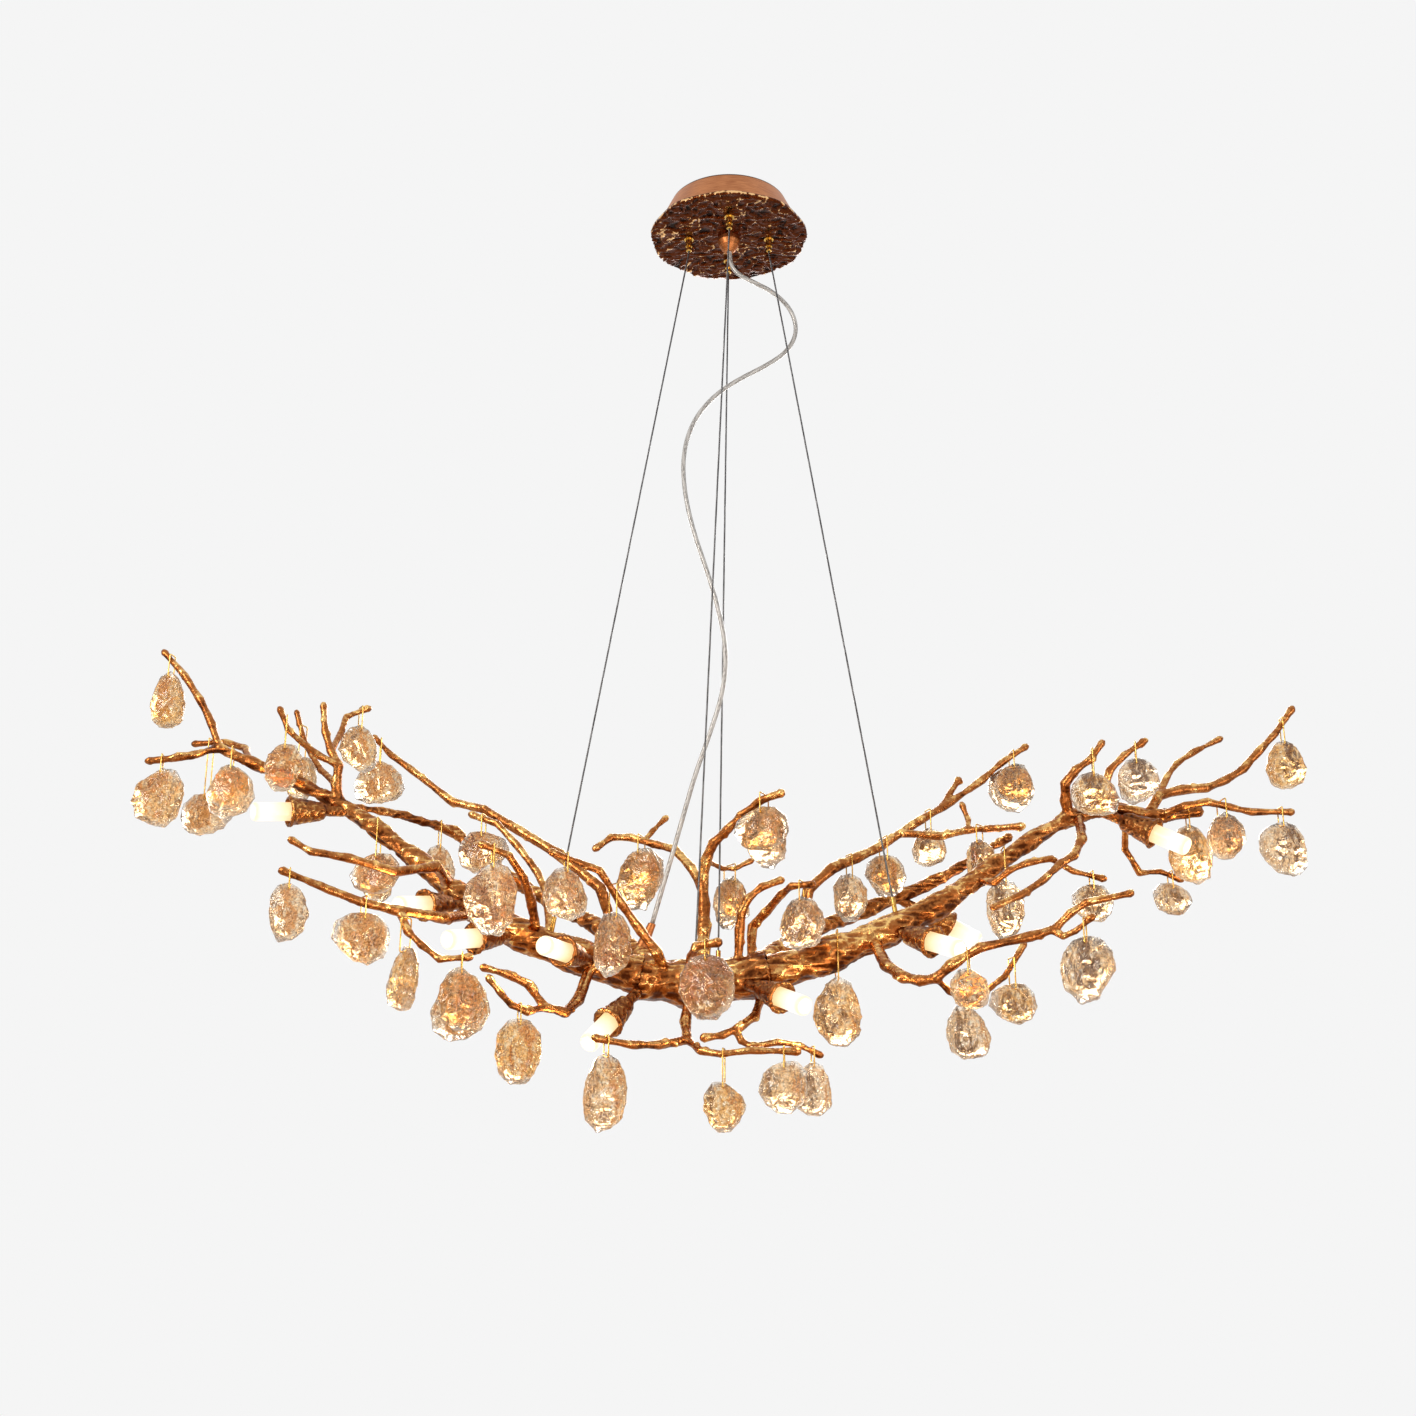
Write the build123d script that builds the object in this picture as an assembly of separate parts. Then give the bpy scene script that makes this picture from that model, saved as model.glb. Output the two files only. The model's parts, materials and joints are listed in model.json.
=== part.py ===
"""Branch chandelier: cast bronze boughs and twigs with glass drops and lamps, hung on four steel wires.

Millimetres. The origin is the middle of the bracket's top face, +Z is up and +X runs along the boughs.
Routes of boughs and twigs are given about the hub, which hangs HANG_DROP below the ceiling.
"""
from build123d import *
import math
import os

# Ceiling canopy
CUP_HEIGHT = 36.0
CUP_TOP_DIA = 134.0
CUP_BOTTOM_DIA = 168.0
CUP_WALL = 1.5
PLATE_DIA = 180.0
PLATE_THICK = 4.0
PLATE_WAVE = 2.0
PLATE_WAVES = 9
RIM_POINTS = 72

# Bracket that the canopy screws to
BRACKET_WIDTH = 22.0
BRACKET_THICK = 2.0
EAR_DROP = 22.0
EAR_GAP = 3.0
SLOT_SPACING = 70.0
SLOT_LENGTH = 20.0
SLOT_WIDTH = 5.0
SCREW_DIA = 4.0
SCREW_HEAD_DIA = 7.0
SCREW_HEAD_LENGTH = 2.5
SCREW_DEPTH = 14.0
SCREW_CLEARANCE = 0.2

# Terminal block under the bracket
BLOCK_LENGTH = 30.0
BLOCK_WIDTH = 16.0
BLOCK_HEIGHT = 12.0
BLOCK_WAYS = 3
BLOCK_HOLE_DIA = 3.5

# Wire grippers in the plate
GRIPPER_CIRCLE_DIA = 92.0
GRIPPER_SHANK_DIA = 6.0
GRIPPER_FLANGE_DIA = 11.0
GRIPPER_FLANGE_THICK = 2.0
GRIPPER_BARREL_DIA = 7.5
GRIPPER_BARREL_LENGTH = 9.0
GRIPPER_BORE_DIA = 3.0
NUT_WIDTH = 10.0
NUT_THICK = 4.0
COLLAR_STEM_DIA = 5.0
COLLAR_STEM_LENGTH = 6.0
COLLAR_HEAD_DIA = 6.4
COLLAR_HEAD_LENGTH = 4.0
COLLAR_TRAVEL = 2.0
COLLAR_CHAMFER = 0.8
SHANK_PROUD = 1.0
RUNNING_GAP = 0.2

# Suspension wires and power cord
WIRE_DIA = 2.0
WIRE_BEND_RADIUS = 12.0
CORD_DIA = 5.0
CORD_GAP = 0.3
CORD_STRAIGHT = 6.0
GLAND_FLANGE_DIA = 26.0
GLAND_DOME_HEIGHT = 18.0
GLAND_SHANK_DIA = 10.0
GLAND_LIP = 2.5
GLAND_RIM_DEPTH = 5.4
GLAND_SHOULDER_DIA = 21.8
GLAND_SHOULDER_DEPTH = 10.8
GLAND_BROW_DIA = 15.6
GLAND_BROW_DEPTH = 15.3
FRAME_GLAND_DIA = 14.0
FRAME_GLAND_TOP_DIA = 8.0
FRAME_GLAND_STATION = 1.3
FERRULE_DIA = 5.0
FERRULE_LENGTH = 12.0

# Cast frame
HANG_DROP = 880.0
KNUCKLE = 1.14
WAIST = 0.92
HUB_SWELL = 1.22
BUD_SWELL = 1.35
BUD_LENGTH = 4.0
BUD_TIP = 0.55

# Lamps in their cups
CUP_LENGTH = 40.0
CUP_MOUTH_DIA = 31.0
CUP_BACK_DIA = 19.0
CUP_NECK_DIA = 11.0
CUP_SHELL = 2.0
CUP_FLOOR = 4.0
RIM_BEAD_DIA = 4.0
RIM_BEAD_FLAT = 1.6
HOLDER_DIA = 14.0
HOLDER_LENGTH = 14.0
LAMP_DIA = 19.0
LAMP_OUT = 36.0
LAMP_FOOT_DIA = 13.0
LAMP_SHOULDER = 3.0
LAMP_EDGE = 3.0

# Glass drops and the rings that hold them
RING_WIRE_DIA = 1.4
RING_CORNER = 1.6
RING_REST_GAP = 0.2
RING_GLASS_GAP = 0.6
HOLE_DIA = 2.2
HOLE_DOWN = 7.5
DROP_THICK = 15.0
PAIRED_THICK = 11.0
PAIR_GAP = 0.8
DROP_EDGE = 5.0
DROP_SIDES = 11
DROP_TWO_LOBES = 0.07
DROP_THREE_LOBES = 0.06
DROP_TWO_LOBE_STEP = 2.4
DROP_THREE_LOBE_STEP = 1.7
DROP_NARROWING = 0.05
CROWN_SCALE = 0.52
CROWN_DOWN = 0.1

# Route of the two main boughs from the left tip to the right tip: x, y, z about the hub, radius
SPINE = [
    (-597, -20, 212, 3.2), (-561, -15, 218, 4.0), (-533, -10, 228, 5.0), (-501, -5, 214, 5.5),
    (-454, 0, 195, 6.2), (-406, 0, 170, 7.0), (-368, 0, 145, 8.0), (-320, 0, 109, 10.0),
    (-266, -5, 64, 12.5), (-213, -10, 32, 15.0), (-152, -10, 9, 16.5), (-92, -5, -9, 17.5),
    (-42, 0, -17, 18.0), (38, -5, -7, 17.5), (99, -10, 12, 16.5), (160, -10, 37, 14.0),
    (212, -5, 64, 11.5), (260, 0, 98, 9.5), (308, 0, 132, 8.0), (350, 0, 156, 7.5),
    (395, 0, 166, 7.0), (440, 0, 156, 6.5), (480, 0, 162, 5.0)]
HUB_FIRST = 11
HUB_LAST = 13
HUB_REACH = 0.9

# Limbs that grow from another limb: node, parent limb, station on it, root and tip radius, route
LIMBS = {
    "rear_left": ("rear_left_bough", "spine", 11.5, 11.0, 3.2, [
        (-85, 30, 10), (-122, 70, 45), (-189, 105, 84), (-252, 120, 123), (-303, 115, 167), (-353, 95, 180),
        (-408, 60, 183)]),
    "rear_right": ("rear_right_bough", "spine", 12.7, 11.0, 4.0, [
        (32, 30, 12), (73, 70, 45), (140, 105, 76), (208, 120, 105), (262, 112, 132), (298, 84, 152)]),
    "left_top": ("twigs_left", "spine", 2.0, 4.4, 3.2, [
        (-545, -8, 257), (-559, -5, 282), (-579, 0, 310), (-602, 5, 335)]),
    "left_spur": ("twigs_left", "spine", 3.0, 4.4, 3.2, [(-515, 20, 236), (-540, 32, 246), (-570, 38, 246)]),
    "left_upright": ("twigs_left", "spine", 5.0, 5.6, 3.2, [
        (-410, -5, 191), (-407, -10, 209), (-417, -8, 225), (-425, -5, 247), (-428, -5, 271)]),
    "left_upright_fork": ("twigs_left", "left_upright", 2.0, 3.8, 2.9, [
        (-426, -18, 217), (-443, -25, 229), (-458, -30, 242), (-465, -32, 259)]),
    "left_upright_rear": ("twigs_left", "left_upright", 1.0, 3.8, 2.9, [
        (-432, 15, 211), (-453, 30, 242), (-465, 35, 276)]),
    "left_upright_back": ("twigs_left", "left_upright", 3.0, 3.5, 2.9, [
        (-414, 15, 249), (-411, 28, 273), (-394, 38, 284)]),
    "upper_left": ("twigs_left", "rear_left", 2.0, 6.2, 3.2, [
        (-138, 66, 95), (-183, 80, 133), (-230, 95, 164), (-270, 105, 190), (-307, 115, 201),
        (-354, 125, 239), (-379, 125, 257), (-395, 120, 273)]),
    "left_mid": ("twigs_left", "spine", 7.6, 5.6, 3.2, [
        (-294, -50, 94), (-328, -92, 80), (-369, -110, 90), (-404, -120, 94), (-418, -125, 102)]),
    "left_lower": ("twigs_lower_left", "spine", 8.3, 5.6, 3.2, [
        (-280, -75, 38), (-317, -112, 38), (-351, -135, 43), (-386, -150, 55), (-416, -158, 66)]),
    "left_lower_fork": ("twigs_lower_left", "left_lower", 2.0, 3.8, 2.9, [
        (-307, -122, 17), (-293, -127, 4), (-275, -128, -10), (-252, -124, -8)]),
    "lower_left": ("twigs_lower_left", "spine", 10.2, 5.6, 3.2, [
        (-150, -52, -38), (-160, -82, -54), (-178, -99, -51), (-194, -107, -30), (-215, -102, -20),
        (-234, -95, -14)]),
    "lower_left_fork": ("twigs_lower_left", "lower_left", 3.0, 3.8, 2.9, [
        (-192, -116, -57), (-207, -122, -52), (-217, -124, -41), (-226, -122, -30)]),
    "centre_right": ("twigs_centre", "spine", 12.15, 7.5, 3.5, [
        (-29, 22, 25), (-28, 26, 45), (-28, 28, 70), (-30, 29, 94), (-26, 20, 115), (-18, 9, 131),
        (-4, 0, 143), (12, -11, 157), (30, -22, 169), (47, -30, 173)]),
    "centre_left": ("twigs_centre", "centre_right", 3.6, 5.0, 3.2, [
        (-41, 40, 111), (-59, 60, 135), (-77, 70, 142), (-108, 80, 153), (-128, 75, 152), (-141, 70, 141)]),
    "centre_left_bud": ("twigs_centre", "centre_left", 3.5, 3.1, 2.9, [(-84, 80, 160), (-73, 84, 172)]),
    "centre_ring": ("twigs_centre", "centre_right", 5.0, 3.1, 2.6, [
        (-9, 42, 111), (4, 50, 112), (18, 55, 120)]),
    "centre_loop": ("twigs_centre", "spine", 12.6, 5.0, 3.5, [
        (8, -14, 38), (10, -20, 54), (16, -25, 66), (30, -28, 78), (46, -25, 84)]),
    "centre_loop_rear": ("twigs_centre", "spine", 12.75, 5.0, 3.5, [
        (21, 5, 43), (36, -8, 57), (50, -30, 70), (59, -46, 75), (75, -54, 75)]),
    "centre_front": ("twigs_centre", "spine", 11.9, 5.0, 3.8, [
        (-40, -45, 5), (-36, -66, 12), (-18, -72, 14)]),
    "centre_left_front": ("twigs_centre", "spine", 11.6, 5.6, 3.2, [
        (-75, -34, 11), (-90, -42, 30), (-110, -60, 56), (-130, -80, 84), (-172, -97, 97)]),
    "left_inner": ("twigs_centre", "spine", 9.3, 5.0, 3.2, [
        (-200, -44, 62), (-206, -64, 80), (-218, -84, 98), (-240, -92, 106)]),
    "left_inner_rear": ("twigs_centre", "spine", 9.5, 4.4, 3.2, [
        (-190, 18, 80), (-202, 28, 104), (-224, 38, 134), (-248, 46, 160), (-272, 52, 170)]),
    "lower_centre": ("twigs_lower_centre", "spine", 12.0, 5.6, 3.2, [
        (-46, -38, -58), (-44, -56, -77), (-70, -78, -84), (-94, -96, -86), (-125, -112, -82)]),
    "lower_centre_low": ("twigs_lower_centre", "lower_centre", 2.0, 3.8, 3.2, [
        (-31, -82, -90), (-12, -91, -94), (16, -96, -91), (55, -100, -92)]),
    "lower_centre_right": ("twigs_lower_centre", "spine", 12.8, 5.0, 3.5, [
        (28, -22, -34), (22, -40, -52), (8, -54, -64), (-10, -60, -73), (-24, -62, -75)]),
    "lower_centre_tip": ("twigs_lower_centre", "lower_centre_right", 3.3, 3.8, 2.9, [
        (8, -56, -78), (18, -58, -84), (43, -56, -79), (64, -55, -82), (80, -52, -89)]),
    "upper_right": ("twigs_right", "rear_right", 2.0, 6.2, 3.2, [
        (82, 58, 92), (108, 62, 115), (135, 75, 129), (161, 90, 144), (211, 105, 179), (238, 115, 196),
        (282, 125, 228), (304, 128, 248), (330, 130, 266)]),
    "upper_right_bud": ("twigs_right", "upper_right", 5.7, 3.1, 2.9, [(245, 122, 212), (254, 126, 225)]),
    "right_inner": ("twigs_right", "upper_right", 4.5, 4.4, 3.2, [
        (226, 70, 152), (252, 50, 154), (270, 35, 152), (300, 24, 152)]),
    "right_stub": ("twigs_right", "right_inner", 2.0, 3.0, 2.9, [(254, 56, 166), (250, 60, 180)]),
    "right_fork_up": ("twigs_right", "spine", 19.0, 6.2, 3.2, [
        (345, -10, 172), (343, -22, 187), (353, -30, 199), (368, -33, 209), (378, -34, 223)]),
    "right_fork_side": ("twigs_right", "spine", 20.0, 5.0, 3.2, [
        (387, -8, 188), (392, -12, 203), (407, -15, 218), (424, -18, 230)]),
    "right_top": ("twigs_right", "spine", 20.8, 5.6, 3.2, [
        (446, 8, 181), (472, 14, 189), (500, 18, 192), (521, 22, 201), (542, 24, 214), (561, 25, 234),
        (581, 25, 254), (598, 25, 277)]),
    "right_top_fork": ("twigs_right", "right_top", 1.0, 3.8, 2.9, [
        (459, 20, 203), (473, 28, 221), (493, 34, 235), (522, 40, 250)]),
    "right_end": ("twigs_right", "spine", 21.0, 4.4, 3.2, [
        (464, -22, 163), (486, -27, 166), (510, -24, 161), (533, -20, 157), (570, -16, 158)]),
    "right_under": ("twigs_right", "spine", 20.3, 3.8, 2.9, [
        (414, 36, 130), (430, 46, 107), (453, 50, 109), (470, 52, 103)]),
    "right_mid_front": ("twigs_lower_right", "spine", 19.2, 5.0, 3.2, [
        (352, -42, 124), (339, -60, 103), (323, -70, 93), (304, -80, 75), (279, -88, 58), (255, -92, 47)]),
    "right_mid": ("twigs_lower_right", "spine", 16.8, 3.8, 2.9, [
        (262, -36, 80), (277, -46, 91), (295, -49, 98), (318, -51, 102), (340, -46, 90), (366, -44, 84)]),
    "right_lower": ("twigs_lower_right", "spine", 14.7, 6.2, 3.2, [
        (149, -58, -5), (163, -85, -21), (177, -96, -26), (191, -106, -25), (204, -113, -14), (232, -121, 2),
        (279, -131, 11), (300, -136, 17), (314, -141, 31), (329, -146, 40), (365, -151, 47)]),
    "right_lower_fork": ("twigs_lower_right", "right_lower", 7.8, 3.2, 2.9, [
        (306, -142, 9), (317, -148, 13), (328, -153, 22)]),
    "right_lower_loop": ("twigs_lower_right", "right_lower", 4.0, 3.5, 2.9, [
        (204, -99, -36), (216, -95, -40), (240, -90, -35), (260, -84, -20), (279, -78, 8)]),
}

# Lamps: limb that carries the cup, station on it, and where the lamp's end lies about the hub
LAMPS = [
    ("spine", 5.3, (-482, -50, 150)),
    ("spine", 8.0, (-324, -90, 47)),
    ("spine", 9.0, (-275, -90, 14)),
    ("spine", 10.3, (-180, -110, 6)),
    ("spine", 11.2, (-138, -82, -84)),
    ("spine", 12.55, (68, -96, -50)),
    ("spine", 15.0, (219, -82, 6)),
    ("rear_right", 3.6, (272, 140, 50)),
    ("spine", 19.7, (456, -48, 114)),
]

# Drops on a ring each: node, limb, station, distance from the limb down to the hole, sizes of the glass
# A node with two sizes holds a front and a rear drop on one ring.
SWINGING_DROPS = [
    ("drop_left_tip", "spine", 0.25, 16, [(53, 64)]),
    ("drop_left_top", "left_top", 3.7, 18, [(41, 61)]),
    ("drop_left_low", "left_spur", 2.5, 62, [(54, 50)]),
    ("drop_left_front", "left_upright_fork", 3.2, 25, [(41, 50)]),
    ("drop_left_crown", "left_upright_back", 2.8, 22, [(42, 53)]),
    ("drop_upper_left", "upper_left", 7.75, 26, [(54, 54)]),
    ("drop_lower_left_tip", "left_lower", 4.9, 15, [(39, 54)]),
    ("drop_lower_left", "left_lower", 2.9, 16, [(55, 53)]),
    ("drop_fork_left", "left_lower_fork", 0.8, 24, [(46, 60)]),
    ("drops_fork_pair", "left_lower_fork", 3.9, 16, [(43, 58), (55, 66)]),
    ("drop_lower_fork", "lower_left_fork", 1.5, 16, [(42, 68)]),
    ("drop_large_left", "left_inner", 3.7, 20, [(56, 70)]),
    ("drop_front_left", "centre_left_front", 4.75, 15, [(43, 54)]),
    ("drop_beside_lamp", "centre_left_front", 3.35, 26, [(47, 66)]),
    ("drop_centre_front", "centre_front", 2.6, 16, [(61, 63)]),
    ("drops_centre_right", "centre_right", 9.2, 16, [(57, 50), (46, 62)]),
    ("drop_low_left", "lower_centre", 4.8, 16, [(46, 72)]),
    ("drop_low_centre", "lower_centre_low", 2.1, 32, [(39, 48)]),
    ("drop_low_right", "lower_centre_low", 3.8, 16, [(45, 52)]),
    ("drop_under_bough", "spine", 14.1, 30, [(51, 66)]),
    ("drop_loop_right", "right_lower_loop", 2.2, 15, [(41, 56)]),
    ("drop_lower_right", "right_lower_fork", 2.7, 18, [(52, 62)]),
    ("drop_right_tip", "right_end", 4.8, 16, [(52, 57)]),
    ("drop_right_top", "right_top", 7.4, 22, [(39, 60)]),
]

# Drops wedged among their neighbours: the same entries, with the shared node named first
SEATED_DROPS = [
    ("seated_drops_left", "spine", 2.45, 18, [(41, 48), (46, 60)]),
    ("seated_drops_left", "left_upright_rear", 2.3, 28, [(38, 52)]),
    ("seated_drops_left", "spine", 6.1, 30, [(49, 45), (34, 54)]),
    ("seated_drops_left", "rear_left", 5.3, 26, [(38, 43)]),
    ("seated_drops_left", "left_inner_rear", 4.6, 20, [(54, 48)]),
    ("seated_drops_left", "centre_left", 3.6, 16, [(49, 68), (46, 60)]),
    ("seated_drops_right", "centre_ring", 1.6, 15, [(40, 47), (33, 56)]),
    ("seated_drops_right", "centre_loop_rear", 4.6, 16, [(46, 60)]),
    ("seated_drops_right", "upper_right", 2.7, 20, [(44, 52)]),
    ("seated_drops_right", "upper_right", 4.1, 19, [(46, 48), (32, 44)]),
    ("seated_drops_right", "upper_right", 5.25, 19, [(40, 46)]),
    ("seated_drops_right", "right_inner", 2.6, 16, [(36, 46)]),
    ("seated_drops_right", "spine", 17.4, 28, [(38, 70)]),
    ("seated_drops_right", "upper_right", 8.5, 16, [(44, 46), (50, 60)]),
    ("seated_drops_right", "right_fork_up", 4.2, 22, [(49, 49)]),
    ("seated_drops_right", "right_fork_side", 3.7, 18, [(41, 53)]),
    ("seated_drops_right", "right_mid", 5.7, 15, [(45, 37)]),
    ("seated_drops_right", "spine", 21.8, 18, [(42, 68)]),
    ("seated_drops_right", "right_end", 2.6, 15, [(41, 50), (30, 46)]),
    ("seated_drops_right", "right_under", 3.6, 15, [(42, 36)]),
    ("seated_drops_right", "right_lower_loop", 4.4, 24, [(46, 43)]),
    ("seated_drops_right", "lower_centre_tip", 4.8, 15, [(40, 50)]),
    ("seated_drops_right", "right_lower", 5.6, 19, [(36, 42)]),
]

# Where each wire leaves the canopy, and the limb and station that it ends on
WIRES = {
    "left": ((-1, 0), "spine", 9.47),
    "right": ((1, 0), "spine", 15.15),
    "front": ((0, -1), "spine", 12.05),
    "back": ((0, 1), "spine", 12.35),
}
WIRE_SIDE = {"left": 0.0, "right": 0.0, "front": -9.0, "back": 14.0}

# Route of the power cord about the hub, from the canopy's gland to the frame's gland
CORD_ROUTE = [
    (6, 0, 796), (26, 0, 784), (52, 4, 772), (72, 9, 752), (78, 13, 726), (66, 15, 702), (40, 12, 682),
    (8, 7, 662), (-20, 2, 638), (-42, 0, 606), (-52, -1, 566), (-50, 0, 522), (-40, 1, 476), (-25, 1, 430),
    (-12, 2, 384),
    (-4, 5, 338), (-8, 8, 294), (-22, 13, 250), (-38, 20, 206), (-50, 27, 164), (-62, 33, 122), (-73, 37, 84),
    (-82, 39, 52)]
CORD_ARC_SHARE = 0.45


def hub_frame(point):
    """Point about the hub as a vector in the part's frame."""
    return Vector(point[0], point[1], point[2] - HANG_DROP)


def group(solids):
    """Several solids of one node, or the only one."""
    return solids[0] if len(solids) == 1 else Compound(children=solids)


class Limb:
    """Round bough or twig along a route, with a knuckle at each point and a waist between two points."""

    def __init__(self, points, radii):
        self.points = points
        self.radii = radii

    def at(self, station):
        """Centre at a station, counted in points along the route."""
        first = min(int(station), len(self.points) - 2)
        share = station - first
        return self.points[first] * (1 - share) + self.points[first + 1] * share

    def along(self, station):
        """Direction of the route at a station."""
        first = min(int(station), len(self.points) - 2)
        return (self.points[first + 1] - self.points[first]).normalized()

    def radius(self, station):
        """Radius at a station, with the knuckles and waists."""
        first = min(int(station), len(self.points) - 2)
        share = station - first
        middle = WAIST * (self.radii[first] + self.radii[first + 1]) / 2
        if share < 0.5:
            return KNUCKLE * self.radii[first] * (1 - 2 * share) + middle * 2 * share
        return middle * (2 - 2 * share) + KNUCKLE * self.radii[first + 1] * (2 * share - 1)

    def tangent(self, index):
        """Direction at a point, shared between the runs beside it."""
        before = self.points[max(index - 1, 0)]
        after = self.points[min(index + 1, len(self.points) - 1)]
        here = self.points[index]
        if index in (0, len(self.points) - 1):
            return (after - before).normalized()
        return ((here - before).normalized() + (after - here).normalized()).normalized()

    def sections(self, first, last, swell):
        """Centre, direction and radius of each round section from one point to another."""
        rows = []
        for index in range(first, last + 1):
            rows.append((self.points[index], self.tangent(index), KNUCKLE * self.radii[index] * swell))
            if index < last:
                middle = (self.points[index] + self.points[index + 1]) * 0.5
                rows.append((middle, self.along(index), swell * self.radius(index + 0.5)))
        return rows

    def bud(self, index, outward):
        """Swollen end of a twig beyond its last point."""
        tip = self.points[index]
        radius = self.radii[index] * BUD_SWELL
        return [(tip + outward * BUD_LENGTH, outward, radius),
                (tip + outward * 2 * BUD_LENGTH, outward, radius * BUD_TIP)]

    def solid(self, first=0, last=None, swell=1.0, bud_first=False, bud_last=False):
        """Ruled loft of the sections, on an X axis that turns as little as it can."""
        last = len(self.points) - 1 if last is None else last
        rows = self.sections(first, last, swell)
        if bud_last:
            rows = rows + self.bud(last, self.tangent(last))
        if bud_first:
            inward = self.tangent(first)
            rows = [(at, inward, radius) for at, _, radius in reversed(self.bud(first, inward * -1))] + rows
        x_axis = Vector(0, 1, 0)
        circles = []
        for at, direction, radius in rows:
            x_axis = (x_axis - direction * x_axis.dot(direction)).normalized()
            circles.append(Plane(at, x_dir=x_axis, z_dir=direction) * Circle(radius))
        return loft(circles, ruled=True).solid()


def make_limbs():
    """Every limb by name, each rooted on its parent's centre line."""
    limbs = {"spine": Limb([hub_frame(row) for row in SPINE], [row[3] for row in SPINE])}
    for name, (node, parent, station, root_radius, tip_radius, route) in LIMBS.items():
        points = [limbs[parent].at(station)] + [hub_frame(point) for point in route]
        steps = len(points) - 1
        radii = [root_radius + (tip_radius - root_radius) * index / steps for index in range(steps + 1)]
        limbs[name] = Limb(points, radii)
    return limbs


def main_piece(shape):
    """Largest solid of a cut, without the stub inside the limb that carries it."""
    return max(shape.solids(), key=lambda solid: solid.volume)


def cast_frame(limbs):
    """Solids of the cast limbs by node, and the solids that carry things by limb."""
    spine = limbs["spine"]
    nodes = {
        "hub": [spine.solid(HUB_FIRST, HUB_LAST, swell=HUB_SWELL)],
        "left_bough": [spine.solid(0, HUB_FIRST, bud_first=True)],
        "right_bough": [spine.solid(HUB_LAST, len(SPINE) - 1, bud_last=True)],
    }
    carriers = {"spine": [nodes["left_bough"][0], nodes["hub"][0], nodes["right_bough"][0]]}
    for name, (node, parent, station, root_radius, tip_radius, route) in LIMBS.items():
        rough = limbs[name].solid(bud_last=True)
        carriers[name] = [main_piece(rough - seats(carriers, parent, station))]
        nodes.setdefault(node, []).extend(carriers[name])
    return nodes, carriers


def seats(carriers, limb, station):
    """Castings that a fitting at a station of a limb stands on: two where it is near an end of the hub."""
    if limb != "spine":
        return carriers[limb]
    left, hub, right = carriers["spine"]
    spans = [(left, 0, HUB_FIRST), (hub, HUB_FIRST, HUB_LAST), (right, HUB_LAST, len(SPINE))]
    return [piece for piece, first, last in spans if first - HUB_REACH <= station <= last + HUB_REACH]


def turned(profile):
    """Solid of revolution about Z from radius and height pairs."""
    outline = Polyline(*[(radius, 0, height) for radius, height in profile], close=True)
    return revolve(make_face(outline), Axis.Z).solid()


def cup_radius(depth):
    """Outer radius of the canopy cup at a depth under the ceiling."""
    return (CUP_TOP_DIA + (CUP_BOTTOM_DIA - CUP_TOP_DIA) * depth / CUP_HEIGHT) / 2


def cross_bar(dia, start, end, depth):
    """Round bar along X at a depth under the ceiling."""
    return Plane((start, 0, -depth), z_dir=(1, 0, 0)) * Cylinder(
        dia / 2, end - start, align=(Align.CENTER, Align.CENTER, Align.MIN))


def ear_face():
    """X of the bracket ears' outer faces, clear of the cup's mouth at their corners."""
    return math.sqrt((CUP_TOP_DIA / 2 - CUP_WALL - EAR_GAP) ** 2 - (BRACKET_WIDTH / 2) ** 2)


def ceiling_bracket():
    """Slotted bar on the ceiling with an ear bent down at each end."""
    reach = ear_face()
    bar = Box(2 * reach, BRACKET_WIDTH, BRACKET_THICK, align=(Align.CENTER, Align.CENTER, Align.MAX))
    for side in (-1, 1):
        ear = Box(BRACKET_THICK, BRACKET_WIDTH, EAR_DROP, align=(Align.CENTER, Align.CENTER, Align.MAX))
        bar += Pos(side * (reach - BRACKET_THICK / 2), 0, 0) * ear
        slot = extrude(SlotOverall(SLOT_LENGTH, SLOT_WIDTH), -BRACKET_THICK)
        bar -= Pos(side * SLOT_SPACING / 2, 0, 0) * slot
    return (bar - cross_bar(SCREW_DIA + SCREW_CLEARANCE, -reach, reach, SCREW_DEPTH)).solid()


def canopy_cup():
    """Flared sheet wall between the ceiling and the plate, drilled for the side screws."""
    top, bottom = CUP_TOP_DIA / 2, CUP_BOTTOM_DIA / 2
    wall = turned([(top - CUP_WALL, 0), (top, 0), (bottom, -CUP_HEIGHT), (bottom - CUP_WALL, -CUP_HEIGHT)])
    return (wall - cross_bar(SCREW_DIA + 2 * SCREW_CLEARANCE, -bottom, bottom, SCREW_DEPTH)).solid()


def canopy_screws():
    """Side screws that hold the cup to the bracket's ears."""
    seat = cup_radius(SCREW_DEPTH + SCREW_HEAD_DIA / 2)
    inner = ear_face() - BRACKET_THICK
    screw = cross_bar(SCREW_DIA, inner, seat, SCREW_DEPTH)
    screw += cross_bar(SCREW_HEAD_DIA, seat, seat + SCREW_HEAD_LENGTH, SCREW_DEPTH)
    return group([screw.solid(), (Rot(0, 0, 180) * screw).solid()])


def gripper_spots():
    """Centre of each wire gripper in the plate, by wire."""
    reach = GRIPPER_CIRCLE_DIA / 2
    return {name: Vector(x, y, 0) * reach for name, ((x, y), limb, station) in WIRES.items()}


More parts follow.
